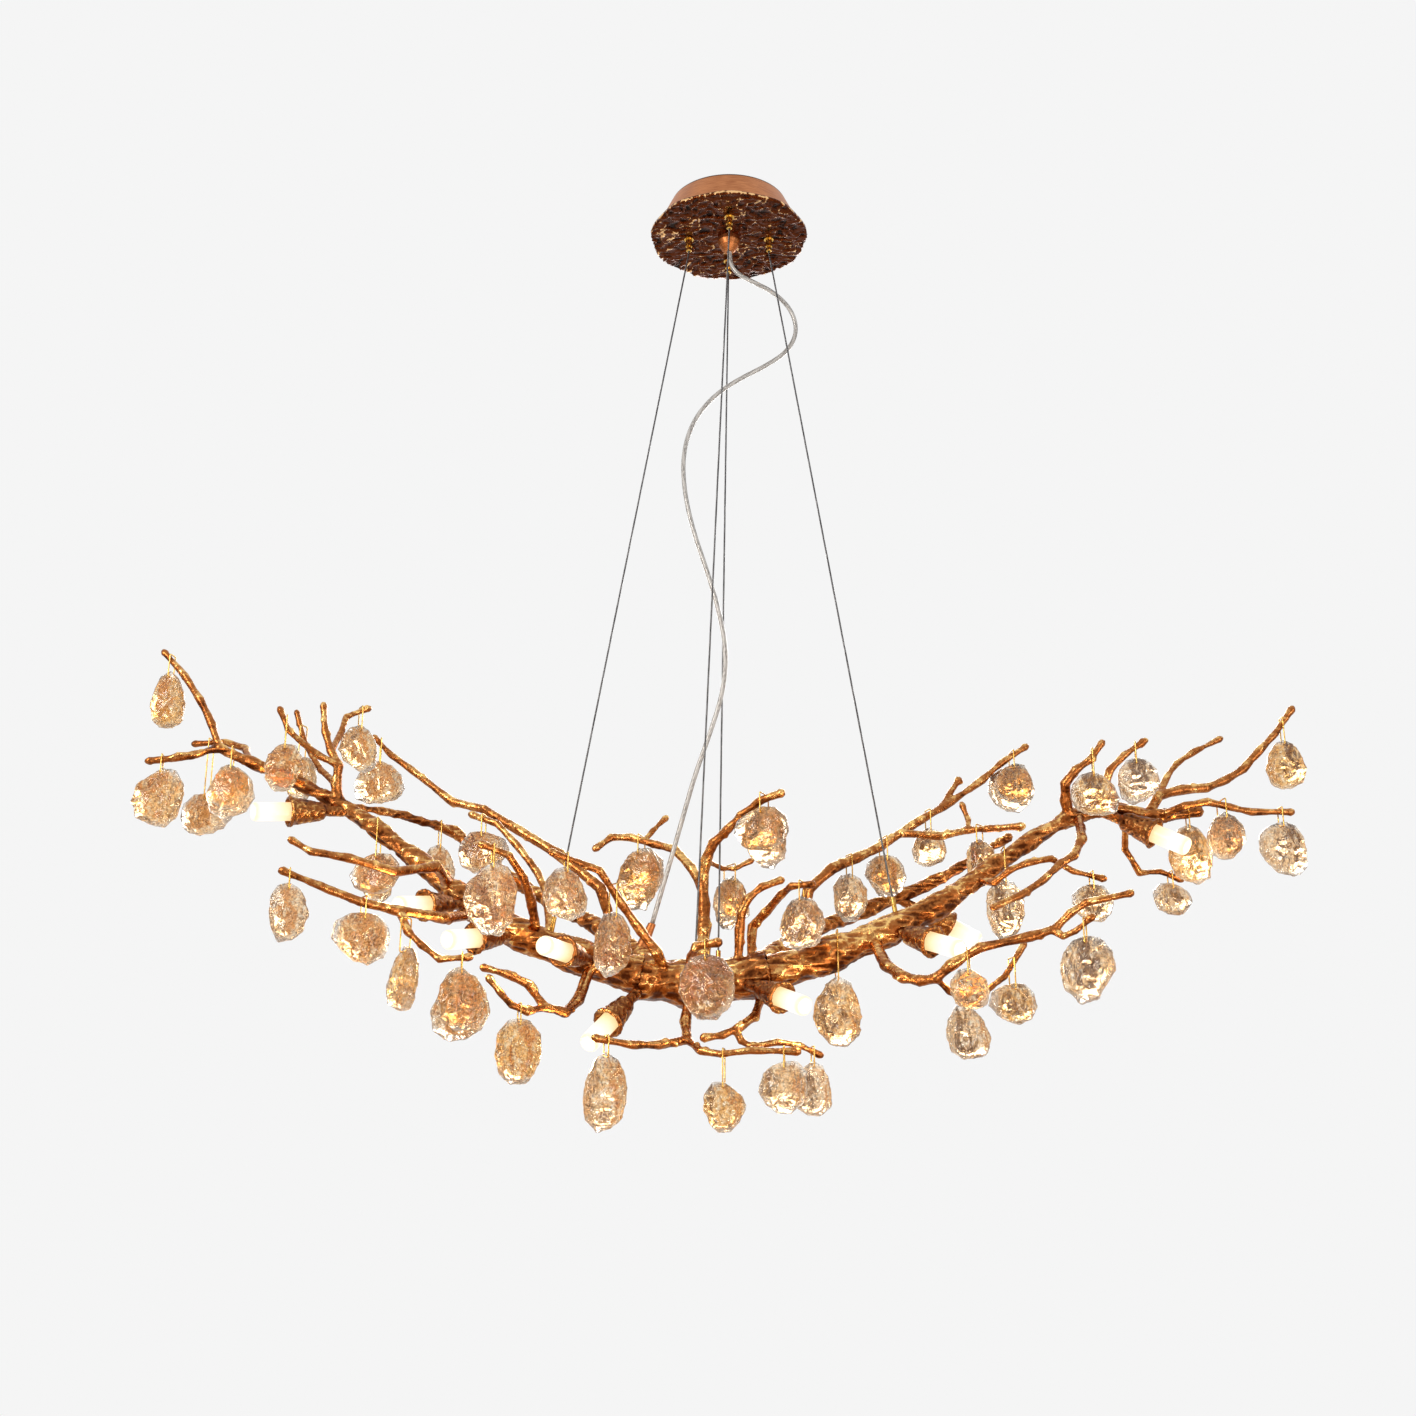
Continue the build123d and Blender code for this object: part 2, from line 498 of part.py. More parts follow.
def canopy_plate():
    """Round plate with a gently waving rim, drilled for the grippers and the cord gland."""
    rim = []
    for step in range(RIM_POINTS):
        turn = 2 * math.pi * step / RIM_POINTS
        radius = PLATE_DIA / 2 - PLATE_WAVE * (1 + math.sin(PLATE_WAVES * turn)) / 2
        rim.append((radius * math.cos(turn), radius * math.sin(turn)))
    plate = Pos(0, 0, -CUP_HEIGHT) * extrude(make_face(Polyline(*rim, close=True)), -PLATE_THICK)
    drill_top = (Align.CENTER, Align.CENTER, Align.MAX)
    for spot in gripper_spots().values():
        plate -= Pos(spot.X, spot.Y, -CUP_HEIGHT) * Cylinder(
            GRIPPER_SHANK_DIA / 2 + RUNNING_GAP, PLATE_THICK, align=drill_top)
    gland_hole = Cylinder(GLAND_SHANK_DIA / 2 + RUNNING_GAP, PLATE_THICK, align=drill_top)
    plate -= Pos(0, 0, -CUP_HEIGHT) * gland_hole
    return plate.solid()


def plate_under():
    """Height of the plate's underside."""
    return -CUP_HEIGHT - PLATE_THICK


def terminal_block():
    """Block of terminals on the bracket's underside, open at both sides for the leads."""
    top = (Align.CENTER, Align.CENTER, Align.MAX)
    block = Pos(0, 0, -BRACKET_THICK) * Box(BLOCK_LENGTH, BLOCK_WIDTH, BLOCK_HEIGHT, align=top)
    for way in range(BLOCK_WAYS):
        x = BLOCK_LENGTH * ((way + 0.5) / BLOCK_WAYS - 0.5)
        lead = Rot(90, 0, 0) * Cylinder(BLOCK_HOLE_DIA / 2, BLOCK_WIDTH)
        block -= Pos(x, 0, -BRACKET_THICK - BLOCK_HEIGHT / 2) * lead
    return block.solid()


def canopy_gland():
    """Domed strain relief in the middle of the plate, bored for the cord."""
    bore = CORD_DIA / 2 + CORD_GAP
    under = plate_under()
    foot = under - GLAND_DOME_HEIGHT
    return turned([
        (bore, -CUP_HEIGHT + NUT_THICK), (GLAND_SHANK_DIA / 2, -CUP_HEIGHT + NUT_THICK),
        (GLAND_SHANK_DIA / 2, under),
        (GLAND_FLANGE_DIA / 2, under), (GLAND_FLANGE_DIA / 2, under - GLAND_RIM_DEPTH),
        (GLAND_SHOULDER_DIA / 2, under - GLAND_SHOULDER_DEPTH),
        (GLAND_BROW_DIA / 2, under - GLAND_BROW_DEPTH), (bore + GLAND_LIP, foot), (bore, foot)])


def gripper_levels():
    """Heights of a gripper: barrel end and the collar head's two faces at rest."""
    barrel_end = plate_under() - GRIPPER_FLANGE_THICK - GRIPPER_BARREL_LENGTH
    head_top = barrel_end - COLLAR_TRAVEL - RUNNING_GAP
    return barrel_end, head_top, head_top - COLLAR_HEAD_LENGTH


def gripper_body():
    """Gripper with a threaded shank through the plate and a socket for its release collar."""
    under = plate_under()
    barrel_end, head_top, head_foot = gripper_levels()
    bore = GRIPPER_BORE_DIA / 2
    socket = COLLAR_STEM_DIA / 2 + RUNNING_GAP
    socket_roof = barrel_end + COLLAR_STEM_LENGTH
    shank_top = -CUP_HEIGHT + NUT_THICK + SHANK_PROUD
    return turned([
        (bore, shank_top), (GRIPPER_SHANK_DIA / 2, shank_top),
        (GRIPPER_SHANK_DIA / 2, under), (GRIPPER_FLANGE_DIA / 2, under),
        (GRIPPER_FLANGE_DIA / 2, under - GRIPPER_FLANGE_THICK),
        (GRIPPER_BARREL_DIA / 2, under - GRIPPER_FLANGE_THICK),
        (GRIPPER_BARREL_DIA / 2, barrel_end), (socket, barrel_end), (socket, socket_roof),
        (bore, socket_roof)])


def gripper_nut():
    """Hexagon nut that clamps a gripper on top of the plate."""
    nut = extrude(RegularPolygon(NUT_WIDTH / 2, 6, major_radius=False), NUT_THICK)
    bore = GRIPPER_SHANK_DIA / 2 + RUNNING_GAP / 2
    nut -= Cylinder(bore, NUT_THICK, align=(Align.CENTER, Align.CENTER, Align.MIN))
    return (Pos(0, 0, -CUP_HEIGHT) * nut).solid()


def gripper_collar():
    """Release collar: a stem in the gripper's socket and a head to press up."""
    barrel_end, head_top, head_foot = gripper_levels()
    bore = GRIPPER_BORE_DIA / 2
    stem_top = barrel_end + COLLAR_STEM_LENGTH - COLLAR_TRAVEL - RUNNING_GAP
    return turned([
        (bore, stem_top), (COLLAR_STEM_DIA / 2, stem_top), (COLLAR_STEM_DIA / 2, head_top),
        (COLLAR_HEAD_DIA / 2, head_top), (COLLAR_HEAD_DIA / 2, head_foot + COLLAR_CHAMFER),
        (COLLAR_HEAD_DIA / 2 - COLLAR_CHAMFER, head_foot), (bore, head_foot)])


def wire_ends(limbs):
    """Foot of each wire on its limb's centre line, and the direction up along its sloping run."""
    ends = {}
    for name, spot in gripper_spots().items():
        direction, limb, station = WIRES[name]
        foot = limbs[limb].at(station) + Vector(0, WIRE_SIDE[name], 0)
        bend = Vector(spot.X, spot.Y, gripper_levels()[2] - WIRE_DIA)
        ends[name] = (foot, bend, (bend - foot).normalized())
    return ends


def suspension_wire(foot, bend, upward, ferrule_top):
    """Wire from inside its gripper, bent below the collar and taut down to its ferrule."""
    top = Vector(bend.X, bend.Y, -CUP_HEIGHT)
    path = FilletPolyline(top, bend, foot + upward * ferrule_top, radius=WIRE_BEND_RADIUS)
    start = Plane(top, z_dir=(0, 0, -1)) * Circle(WIRE_DIA / 2)
    return sweep(start, path=path).solid()


def standing_pin(foot, upward, dia, length):
    """Round pin from a limb's centre line outward."""
    pin = Cylinder(dia / 2, length, align=(Align.CENTER, Align.CENTER, Align.MIN))
    return Plane(foot, z_dir=upward) * pin


def ferrule_top(limbs, name):
    """Length from a limb's centre line to the top of a wire's ferrule."""
    direction, limb, station = WIRES[name]
    return limbs[limb].radius(station) * HUB_SWELL + FERRULE_LENGTH


def cord_radii(points):
    """Radius of the arc at each inner point of the cord, as large as its two runs allow."""
    radii = []
    for before, here, after in zip(points, points[1:], points[2:]):
        first, second = here - before, after - here
        half_turn = math.radians(first.get_angle(second)) / 2
        radii.append(CORD_ARC_SHARE * min(first.length, second.length) / math.tan(half_turn))
    return radii


def power_cord(points):
    """Round cord of straight runs and tangent arcs along its route."""
    radii = cord_radii(points)
    path = FilletPolyline(*points, radius=radii)
    start = Plane(points[0], z_dir=(points[1] - points[0])) * Circle(CORD_DIA / 2)
    cord = sweep(start, path=path).solid()
    section_volume = math.pi * CORD_DIA ** 2 / 4 * path.length
    print("cord length", round(path.length), "least radius", round(min(radii), 1))
    print("cord volume over section times length", round(cord.volume / section_volume, 4))
    return cord


def cord_points():
    """Cord route in the part's frame: straight down out of the canopy's gland, then by the listed points."""
    inside = Vector(0, 0, -CUP_HEIGHT)
    below = Vector(0, 0, plate_under() - GLAND_DOME_HEIGHT - CORD_STRAIGHT)
    return [inside, below] + [hub_frame(point) for point in CORD_ROUTE]


def frame_gland(points, foot, seat):
    """Cone square to the cord's lower end, standing on the rear bough."""
    end = points[-1]
    mouth = Plane(end, z_dir=end - points[-2]) * Circle(FRAME_GLAND_TOP_DIA / 2)
    base = Plane(foot, z_dir=foot - end) * Circle(FRAME_GLAND_DIA / 2)
    return main_piece(loft([mouth, base], ruled=True) - seat)


def lamp_frame(limbs, limb, station, end):
    """Plane at the back of a lamp's cup with Z out of its mouth, and the length of the cup's neck."""
    root = limbs[limb].at(station)
    reach = hub_frame(end) - root
    neck = reach.length - CUP_LENGTH - LAMP_OUT
    outward = reach.normalized()
    return Plane(root + outward * neck, z_dir=outward), neck


def lamp_cup(neck):
    """Flared cup on a neck, hollow from its mouth to its floor, with a beaded rim."""
    back, mouth = CUP_BACK_DIA / 2, CUP_MOUTH_DIA / 2
    bead = RIM_BEAD_DIA / 2
    middle = CUP_LENGTH - bead
    return turned([
        (0, -neck), (CUP_NECK_DIA / 2, -neck), (CUP_NECK_DIA / 2, 0), (back, CUP_FLOOR),
        (mouth - bead / 2, CUP_LENGTH - RIM_BEAD_DIA), (mouth + bead / 2, middle - RIM_BEAD_FLAT / 2),
        (mouth + bead / 2, middle + RIM_BEAD_FLAT / 2), (mouth - bead / 2, CUP_LENGTH),
        (mouth - CUP_SHELL - bead / 2, CUP_LENGTH), (back - CUP_SHELL, CUP_FLOOR), (0, CUP_FLOOR)])


def lamp_holder():
    """Lamp socket on the floor of a cup."""
    return Pos(0, 0, CUP_FLOOR) * Cylinder(
        HOLDER_DIA / 2, HOLDER_LENGTH, align=(Align.CENTER, Align.CENTER, Align.MIN))


def lamp():
    """Tubular lamp with a flat end and a rounded edge, standing on its holder."""
    foot = CUP_FLOOR + HOLDER_LENGTH
    end = CUP_LENGTH + LAMP_OUT
    radius = LAMP_DIA / 2
    outline = Polyline((0, 0, foot), (LAMP_FOOT_DIA / 2, 0, foot),
                       (radius, 0, foot + LAMP_SHOULDER), (radius, 0, end - LAMP_EDGE))
    edge = Plane.XZ * CenterArc((radius - LAMP_EDGE, end - LAMP_EDGE, 0), LAMP_EDGE, 0, 90)
    inward = Polyline((radius - LAMP_EDGE, 0, end), (0, 0, end), (0, 0, foot))
    return revolve(make_face([outline, edge, inward]), Axis.Z).solid()


def drop_outline(width, height, variety):
    """Points round a drop about its middle, a little narrow at the top and uneven in a way of its own."""
    points = []
    for side in range(DROP_SIDES):
        turn = 2 * math.pi * side / DROP_SIDES
        uneven = 1 + DROP_TWO_LOBES * math.sin(2 * turn + DROP_TWO_LOBE_STEP * variety)
        uneven += DROP_THREE_LOBES * math.sin(3 * turn + DROP_THREE_LOBE_STEP * variety)
        across = 0.5 * width * math.sin(turn) * (1 - DROP_NARROWING * math.cos(turn))
        points.append((across * uneven, 0.5 * height * math.cos(turn) * uneven))
    return points


def hole_thickness(height, thick):
    """Thickness of a drop at its hole, on the bevel between edge and crown."""
    bevel = 0.5 * height * (1 - CROWN_SCALE) + CROWN_DOWN * height
    return DROP_EDGE + (thick - DROP_EDGE) * min(HOLE_DOWN / bevel, 1)


def glass_drop(width, height, thick, variety):
    """Faceted drop about its hole: width along X, thickness along Y, drilled along Y."""
    outline = drop_outline(width, height, variety)
    lift = HOLE_DOWN - outline[0][1]
    crown = [(x * CROWN_SCALE, z * CROWN_SCALE - CROWN_DOWN * height) for x, z in outline]
    levels = [(crown, -thick / 2), (outline, -DROP_EDGE / 2), (outline, DROP_EDGE / 2), (crown, thick / 2)]
    rings = [[Vector(x, y, z + lift) for x, z in ring] for ring, y in levels]
    faces = [Face(Wire.make_polygon(rings[0])), Face(Wire.make_polygon(rings[-1]))]
    for near, far in zip(rings, rings[1:]):
        for side in range(DROP_SIDES):
            after = (side + 1) % DROP_SIDES
            faces.append(Face(Wire.make_polygon([near[side], near[after], far[after], far[side]])))
    return (Solid(Shell(faces)) - Rot(90, 0, 0) * Cylinder(HOLE_DIA / 2, thick)).solid()


def hanging_ring(width, height):
    """Closed wire ring in the YZ plane: its foot passes through the drop's hole, its head over the twig."""
    half = width / 2
    corners = [(0, half, 0), (0, half, height), (0, -half, height), (0, -half, 0)]
    path = FilletPolyline(*corners, radius=RING_CORNER, close=True)
    start = Plane((0, half, height / 2), z_dir=(0, 0, 1)) * Circle(RING_WIRE_DIA / 2)
    return sweep(start, path=path).solid()


class Hanging:
    """One ring on a limb with one or two drops, all placed from the limb's station."""

    def __init__(self, limbs, node, limb, station, below, sizes, variety):
        self.node = node
        self.sizes = sizes
        self.variety = variety
        route = limbs[limb]
        along = route.along(station)
        level = Vector(along.X, along.Y, 0).normalized()
        self.axis = Vector(0, 0, 1).cross(level) if level.X > 0 else level.cross(Vector(0, 0, 1))
        flat = math.sqrt(along.X ** 2 + along.Y ** 2)
        head = (route.radius(station) + RING_WIRE_DIA / 2 * abs(along.Z)) / flat
        self.hole = route.at(station) - Vector(0, 0, below)
        self.thick = DROP_THICK if len(sizes) == 1 else PAIRED_THICK
        glass = sum(hole_thickness(height, self.thick) for width, height in sizes)
        glass = self.thick + glass / 2 + PAIR_GAP if len(sizes) == 2 else glass
        clear = max(glass + 2 * RING_GLASS_GAP, 2 * route.radius(station) + 2 * RING_REST_GAP)
        self.ring_width = clear + RING_WIRE_DIA
        self.ring_height = below + head + RING_REST_GAP + RING_WIRE_DIA / 2
        self.place = Plane(self.hole, x_dir=self.axis.cross(Vector(0, 0, 1)), z_dir=(0, 0, 1))

    def ring(self):
        """Ring of this hanging in place."""
        return (self.place * hanging_ring(self.ring_width, self.ring_height)).solid()

    def drops(self):
        """Glass of this hanging in place, the front drop first."""
        offsets = [0.0]
        if len(self.sizes) == 2:
            step = (self.thick + PAIR_GAP) / 2
            offsets = [-step, step]
        solids = []
        for number, (width, height) in enumerate(self.sizes):
            glass = glass_drop(width, height, self.thick, self.variety + 7 * number)
            solids.append((self.place * Pos(0, offsets[number], 0) * glass).solid())
        return solids


def make_hangings(limbs):
    """Every hanging, swinging ones first."""
    rows = SWINGING_DROPS + SEATED_DROPS
    return [Hanging(limbs, *row, variety=index) for index, row in enumerate(rows)]


def canopy_nodes():
    """Nodes of the ceiling canopy and its grippers."""
    spots = gripper_spots()
    nodes = {
        "ceiling_bracket": ceiling_bracket(),
        "canopy_cup": canopy_cup(),
        "canopy_plate": canopy_plate(),
        "canopy_screws": canopy_screws(),
        "terminal_block": terminal_block(),
        "canopy_gland": canopy_gland(),
        "gripper_bodies": group([Pos(spot.X, spot.Y, 0) * gripper_body() for spot in spots.values()]),
        "gripper_nuts": group([Pos(spot.X, spot.Y, 0) * gripper_nut() for spot in spots.values()]),
    }
    for name, spot in spots.items():
        nodes["release_collar_" + name] = Pos(spot.X, spot.Y, 0) * gripper_collar()
    return nodes


def suspension_nodes(limbs, carriers):
    """Nodes of the wires, their ferrules, the cord and its gland on the frame."""
    nodes = {}
    ferrules = []
    for name, (foot, bend, upward) in wire_ends(limbs).items():
        direction, limb, station = WIRES[name]
        top = ferrule_top(limbs, name)
        nodes["wire_" + name] = suspension_wire(foot, bend, upward, top)
        pin = standing_pin(foot, upward, FERRULE_DIA, top)
        ferrules.append(main_piece(pin - seats(carriers, limb, station)))
    nodes["wire_ferrules"] = group(ferrules)
    points = cord_points()
    nodes["power_cord"] = power_cord(points)
    foot = limbs["rear_left"].at(FRAME_GLAND_STATION)
    nodes["frame_gland"] = frame_gland(points, foot, carriers["rear_left"][0])
    return nodes


def lamp_nodes(limbs, carriers):
    """Nodes of the lamp cups, their holders and the lamps."""
    cups, holders, lamps = [], [], []
    for limb, station, end in LAMPS:
        place, neck = lamp_frame(limbs, limb, station, end)
        cups.append(main_piece(place * lamp_cup(neck) - seats(carriers, limb, station)))
        holders.append((place * lamp_holder()).solid())
        lamps.append((place * lamp()).solid())
    return {"lamp_cups": group(cups), "lamp_holders": group(holders), "lamps": group(lamps)}


def drop_nodes(limbs):
    """Nodes of the rings and the glass drops."""
    hangings = make_hangings(limbs)
    solids = {"drop_rings": [hanging.ring() for hanging in hangings]}
    for hanging in hangings:
        solids.setdefault(hanging.node, []).extend(hanging.drops())
    return {node: group(pieces) for node, pieces in solids.items()}


def make_nodes():
    """Every node of the chandelier by name."""
    limbs = make_limbs()
    castings, carriers = cast_frame(limbs)
    nodes = canopy_nodes()
    nodes.update({node: group(pieces) for node, pieces in castings.items()})
    nodes.update(suspension_nodes(limbs, carriers))
    nodes.update(lamp_nodes(limbs, carriers))
    nodes.update(drop_nodes(limbs))
    return nodes


def main():
    os.makedirs("parts", exist_ok=True)
    for name, shape in make_nodes().items():
        export_step(shape, f"parts/{name}.step")


if __name__ == "__main__":
    main()
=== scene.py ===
# %% [markdown]
# # Branch chandelier with glass drops
# A long ceiling light: cast bronze boughs and twigs carry small tube lamps in cups and wrinkled glass
# drops, and hang on four steel ropes from a round canopy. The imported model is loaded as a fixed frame.
# Each cell below dresses some of its pieces: it gives them a finish, or stands a finer mesh in their
# place.

# %% Load the frame
import json
import math

import bmesh
import bpy
import numpy as np
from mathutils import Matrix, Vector
from mathutils.bvhtree import BVHTree

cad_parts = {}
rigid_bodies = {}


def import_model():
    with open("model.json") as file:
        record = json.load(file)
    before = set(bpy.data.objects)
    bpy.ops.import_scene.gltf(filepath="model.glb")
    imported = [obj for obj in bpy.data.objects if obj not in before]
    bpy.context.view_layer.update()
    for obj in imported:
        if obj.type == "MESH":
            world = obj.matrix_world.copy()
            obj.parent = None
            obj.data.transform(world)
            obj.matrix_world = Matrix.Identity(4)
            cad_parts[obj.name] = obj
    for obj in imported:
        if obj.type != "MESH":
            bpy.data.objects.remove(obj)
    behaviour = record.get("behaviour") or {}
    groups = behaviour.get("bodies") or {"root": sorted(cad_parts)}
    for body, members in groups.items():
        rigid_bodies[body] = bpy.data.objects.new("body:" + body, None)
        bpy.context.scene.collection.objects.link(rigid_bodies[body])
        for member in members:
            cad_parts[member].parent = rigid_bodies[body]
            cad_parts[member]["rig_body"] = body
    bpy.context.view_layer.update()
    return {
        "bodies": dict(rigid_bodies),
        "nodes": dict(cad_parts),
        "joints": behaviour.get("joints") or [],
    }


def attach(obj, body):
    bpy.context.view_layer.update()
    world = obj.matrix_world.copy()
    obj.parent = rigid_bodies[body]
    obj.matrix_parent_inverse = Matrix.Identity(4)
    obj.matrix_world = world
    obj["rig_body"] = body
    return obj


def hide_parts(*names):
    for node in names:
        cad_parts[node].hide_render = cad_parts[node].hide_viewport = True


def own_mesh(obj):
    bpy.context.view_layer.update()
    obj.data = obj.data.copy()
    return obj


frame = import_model()
scene = bpy.context.scene

# %% [markdown]
# ## Viewpoint
# The light is seen from in front and from below, as someone standing in the room sees it. A camera could
# be aimed with a constraint, but a plain place and pitch keep it where the picture's perspective puts it.

# %% Camera
SENSOR_WIDTH = 36.0
FOCAL_OVER_WIDTH = 1700 / 1416
CAMERA_PLACE = (-0.024, -1.715, -1.130)
CAMERA_PITCH = math.radians(17)

camera_lens = bpy.data.cameras.new("viewpoint")
camera_lens.sensor_width = SENSOR_WIDTH
camera_lens.lens = SENSOR_WIDTH * FOCAL_OVER_WIDTH
camera = bpy.data.objects.new("viewpoint", camera_lens)
camera.location = CAMERA_PLACE
camera.rotation_euler = (math.pi / 2 + CAMERA_PITCH, 0, 0)
scene.collection.objects.link(camera)
scene.camera = camera
print("lens", round(camera_lens.lens, 2), "mm")

# %% [markdown]
# ## Shader maths as expressions
# A finish is a small tree of nodes. Adding and linking them one by one hides the idea behind it, so a
# socket is wrapped in a class whose operators add Math nodes: `1 - mask` then reads as what it does.


# %% Sockets
class Signal:
    """One output socket of a finish, with operators that add Math nodes."""

    def __init__(self, finish, socket):
        self.finish = finish
        self.socket = socket

    def math(self, operation, first, second):
        return self.finish.add("ShaderNodeMath", {"operation": operation}, {0: first, 1: second}).out(0)

    def __add__(self, other):
        return self.math("ADD", self, other)

    def __radd__(self, other):
        return self.math("ADD", other, self)

    def __sub__(self, other):
        return self.math("SUBTRACT", self, other)

    def __rsub__(self, other):
        return self.math("SUBTRACT", other, self)

    def __mul__(self, other):
        return self.math("MULTIPLY", self, other)

    def __rmul__(self, other):
        return self.math("MULTIPLY", other, self)

    def __abs__(self):
        return self.math("ABSOLUTE", self, 0.0)

    def between(self, low, high):
        """0 below low and 1 above high, with a smooth step between."""
        settings = {"interpolation_type": "SMOOTHSTEP"}
        return self.finish.add("ShaderNodeMapRange", settings, {"Value": self, 1: low, 2: high}).out(0)


class Step:
    """One node of a finish."""

    def __init__(self, finish, node):
        self.finish = finish
        self.node = node

    def out(self, key):
        return Signal(self.finish, self.node.outputs[key])


print("sockets ready")


# %% Finishes
class Finish:
    """A material, or a world, whose nodes are added by one method."""

    def __init__(self, name, shelf=bpy.data.materials):
        self.material = shelf.new(name)
        self.material.use_nodes = True
        self.tree = self.material.node_tree
        self.tree.nodes.clear()

    def add(self, kind, settings=None, sockets=None):
        node = self.tree.nodes.new(kind)
        for key, value in (settings or {}).items():
            setattr(node, key, value)
        for key, value in (sockets or {}).items():
            if isinstance(value, Signal):
                self.tree.links.new(value.socket, node.inputs[key])
            else:
                node.inputs[key].default_value = value
        return Step(self, node)

    def place(self):
        return self.add("ShaderNodeTexCoord").out("Object")

    def stretched(self, scale):
        """Place with each axis scaled by its own factor."""
        settings = {"operation": "MULTIPLY"}
        return self.add("ShaderNodeVectorMath", settings, {0: self.place(), 1: scale}).out(0)

    def noise(self, scale, detail=3.0, place=None):
        sockets = {"Vector": place or self.place(), "Scale": scale, "Detail": detail}
        return self.add("ShaderNodeTexNoise", None, sockets).out(0)

    def measured(self, name):
        """A value that the mesh stores on its points."""
        return self.add("ShaderNodeAttribute", {"attribute_name": name}).out("Fac")

    def mix(self, share, first, second):
        """Colour between two colours."""
        settings = {"data_type": "RGBA", "clamp_factor": True}
        return self.add("ShaderNodeMix", settings, {0: share, 6: first, 7: second}).out(2)

    def bump(self, height, strength, distance):
        sockets = {"Height": height, "Strength": strength, "Distance": distance}
        return self.add("ShaderNodeBump", None, sockets).out(0)

    def surface(self, sockets):
        shader = self.add("ShaderNodeBsdfPrincipled", None, sockets)
        self.close(shader.out(0))
        return self.material

    def seen_rays(self):
        """1 for rays of the camera, of mirrors and through glass, 0 for rays of light."""
        path = self.add("ShaderNodeLightPath")
        rays = path.out("Is Camera Ray") + path.out("Is Glossy Ray") + path.out("Is Transmission Ray")
        return rays.between(0.0, 1.0)

    def close(self, shader, kind="ShaderNodeOutputMaterial"):
        self.add(kind, None, {"Surface": shader})


def shade(red, green, blue):
    """Linear colour from the 0 to 255 values that a picture shows."""
    def straight(value):
        value = value / 255
        return value / 12.92 if value <= 0.04045 else ((value + 0.055) / 1.055) ** 2.4
    return (straight(red), straight(green), straight(blue), 1.0)


print("finish tools ready")

# %% [markdown]
# ## Bronze of the branches
# The castings are brown patinated bronze. Hollows stay dark chocolate, most of the metal is copper brown,
# and raised bark is rubbed to gold. Upper sides are painted lighter and undersides darker, as painted
# highlight and shade. A noise alone would put the gold anywhere, so the mesh stores how far each point
# stands out, and the colour follows the cast relief from any side.


# %% Bronze finishes
def cast_bronze(name, hollow, body, ridge_and_highlight, rub_and_highlight, fade, gloss):
    """Patinated bronze: three colours by height, the start of rubbed gold and painted highlight, its fade,
    gloss.
    """
    finish = Finish(name)
    relief = finish.measured("relief")
    cloud = finish.noise(28.0, 4.0)
    grain = finish.noise(420.0, 3.0)
    level = relief + (grain - 0.5) * 0.5 + (cloud - 0.5) * 0.7
    colour = finish.mix(level.between(0.12, 0.5), hollow, body)
    colour = finish.mix(level.between(rub_and_highlight, rub_and_highlight + fade), colour, ridge_and_highlight)
    return finish.surface({
        "Base Color": colour,
        "Metallic": 1.0,
        "Roughness": gloss - 0.16 * level.between(0.3, 0.9) + 0.12 * (grain - 0.5),
        "Normal": finish.bump(grain, 0.5, 0.0008),
    })


branch_bronze = cast_bronze(
    "branch_bronze", shade(84, 42, 18), shade(168, 102, 52), shade(253, 206, 130), 0.5, 0.4, 0.32)
cup_bronze = cast_bronze(
    "lamp_cup_bronze", shade(64, 30, 12), shade(146, 88, 46), shade(232, 180, 108), 0.6, 0.4, 0.4)
plate_bronze = cast_bronze(
    "crinkled_plate_bronze", shade(26, 8, 3), shade(88, 40, 15), shade(248, 198, 138), 0.72, 0.16, 0.28)
print("bronze finishes", branch_bronze.name, cup_bronze.name, plate_bronze.name)

# %% [markdown]
# ## Other metals
# The canopy's wall is satin copper with fine lines round it, the grippers and rings are bright brass, and
# the ropes are drawn steel. Each could have a finish of its own, but they differ only in colour, gloss
# and the way their grain is drawn out, so one function makes them all.


# %% Satin copper, brass and steel
# Painted shadow: the colour of the shade in the gap where the canopy meets the ceiling.
PAINTED_GAP_SHADOW = shade(30, 18, 12)


def worked_metal(name, dark, light, gloss, lines, gap_shadow_depth=0.0):
    """Metal with a drawn-out grain, smudged gloss, and a painted shadow darkening its top below the ceiling.
    """
    finish = Finish(name)
    grain = finish.noise(60.0, 4.0, finish.stretched(lines))
    smudge = finish.noise(45.0, 3.0)
    colour = finish.mix((0.7 * grain + 0.3 * smudge).between(0.3, 0.7), dark, light)
    # Painted shadow: the top few millimetres of the wall are darkened, as if shaded by the ceiling.
    if gap_shadow_depth:
        height = finish.add("ShaderNodeSeparateXYZ", None, {0: finish.place()}).out("Z")
        colour = finish.mix(height.between(-gap_shadow_depth, 0.0), colour, PAINTED_GAP_SHADOW)
    return finish.surface({
        "Base Color": colour,
        "Metallic": 1.0,
        "Roughness": gloss + 0.18 * (smudge - 0.5) + 0.1 * (grain - 0.5),
        "Normal": finish.bump(grain, 0.12, 0.0004),
    })


satin_copper = worked_metal(
    "satin_copper", shade(160, 92, 48), shade(206, 138, 88), 0.42, (1.5, 1.5, 30.0), gap_shadow_depth=0.003)
bright_brass = worked_metal("bright_brass", shade(190, 140, 50), shade(250, 214, 128), 0.22, (8.0, 8.0, 8.0))
drawn_steel = worked_metal("drawn_steel", shade(72, 72, 74), shade(136, 136, 138), 0.3, (20.0, 20.0, 2.0))
zinc_plate = worked_metal("zinc_plate", shade(150, 152, 155), shade(205, 206, 208), 0.38, (3.0, 12.0, 12.0))
print("metals", satin_copper.name, bright_brass.name, drawn_steel.name, zinc_plate.name)
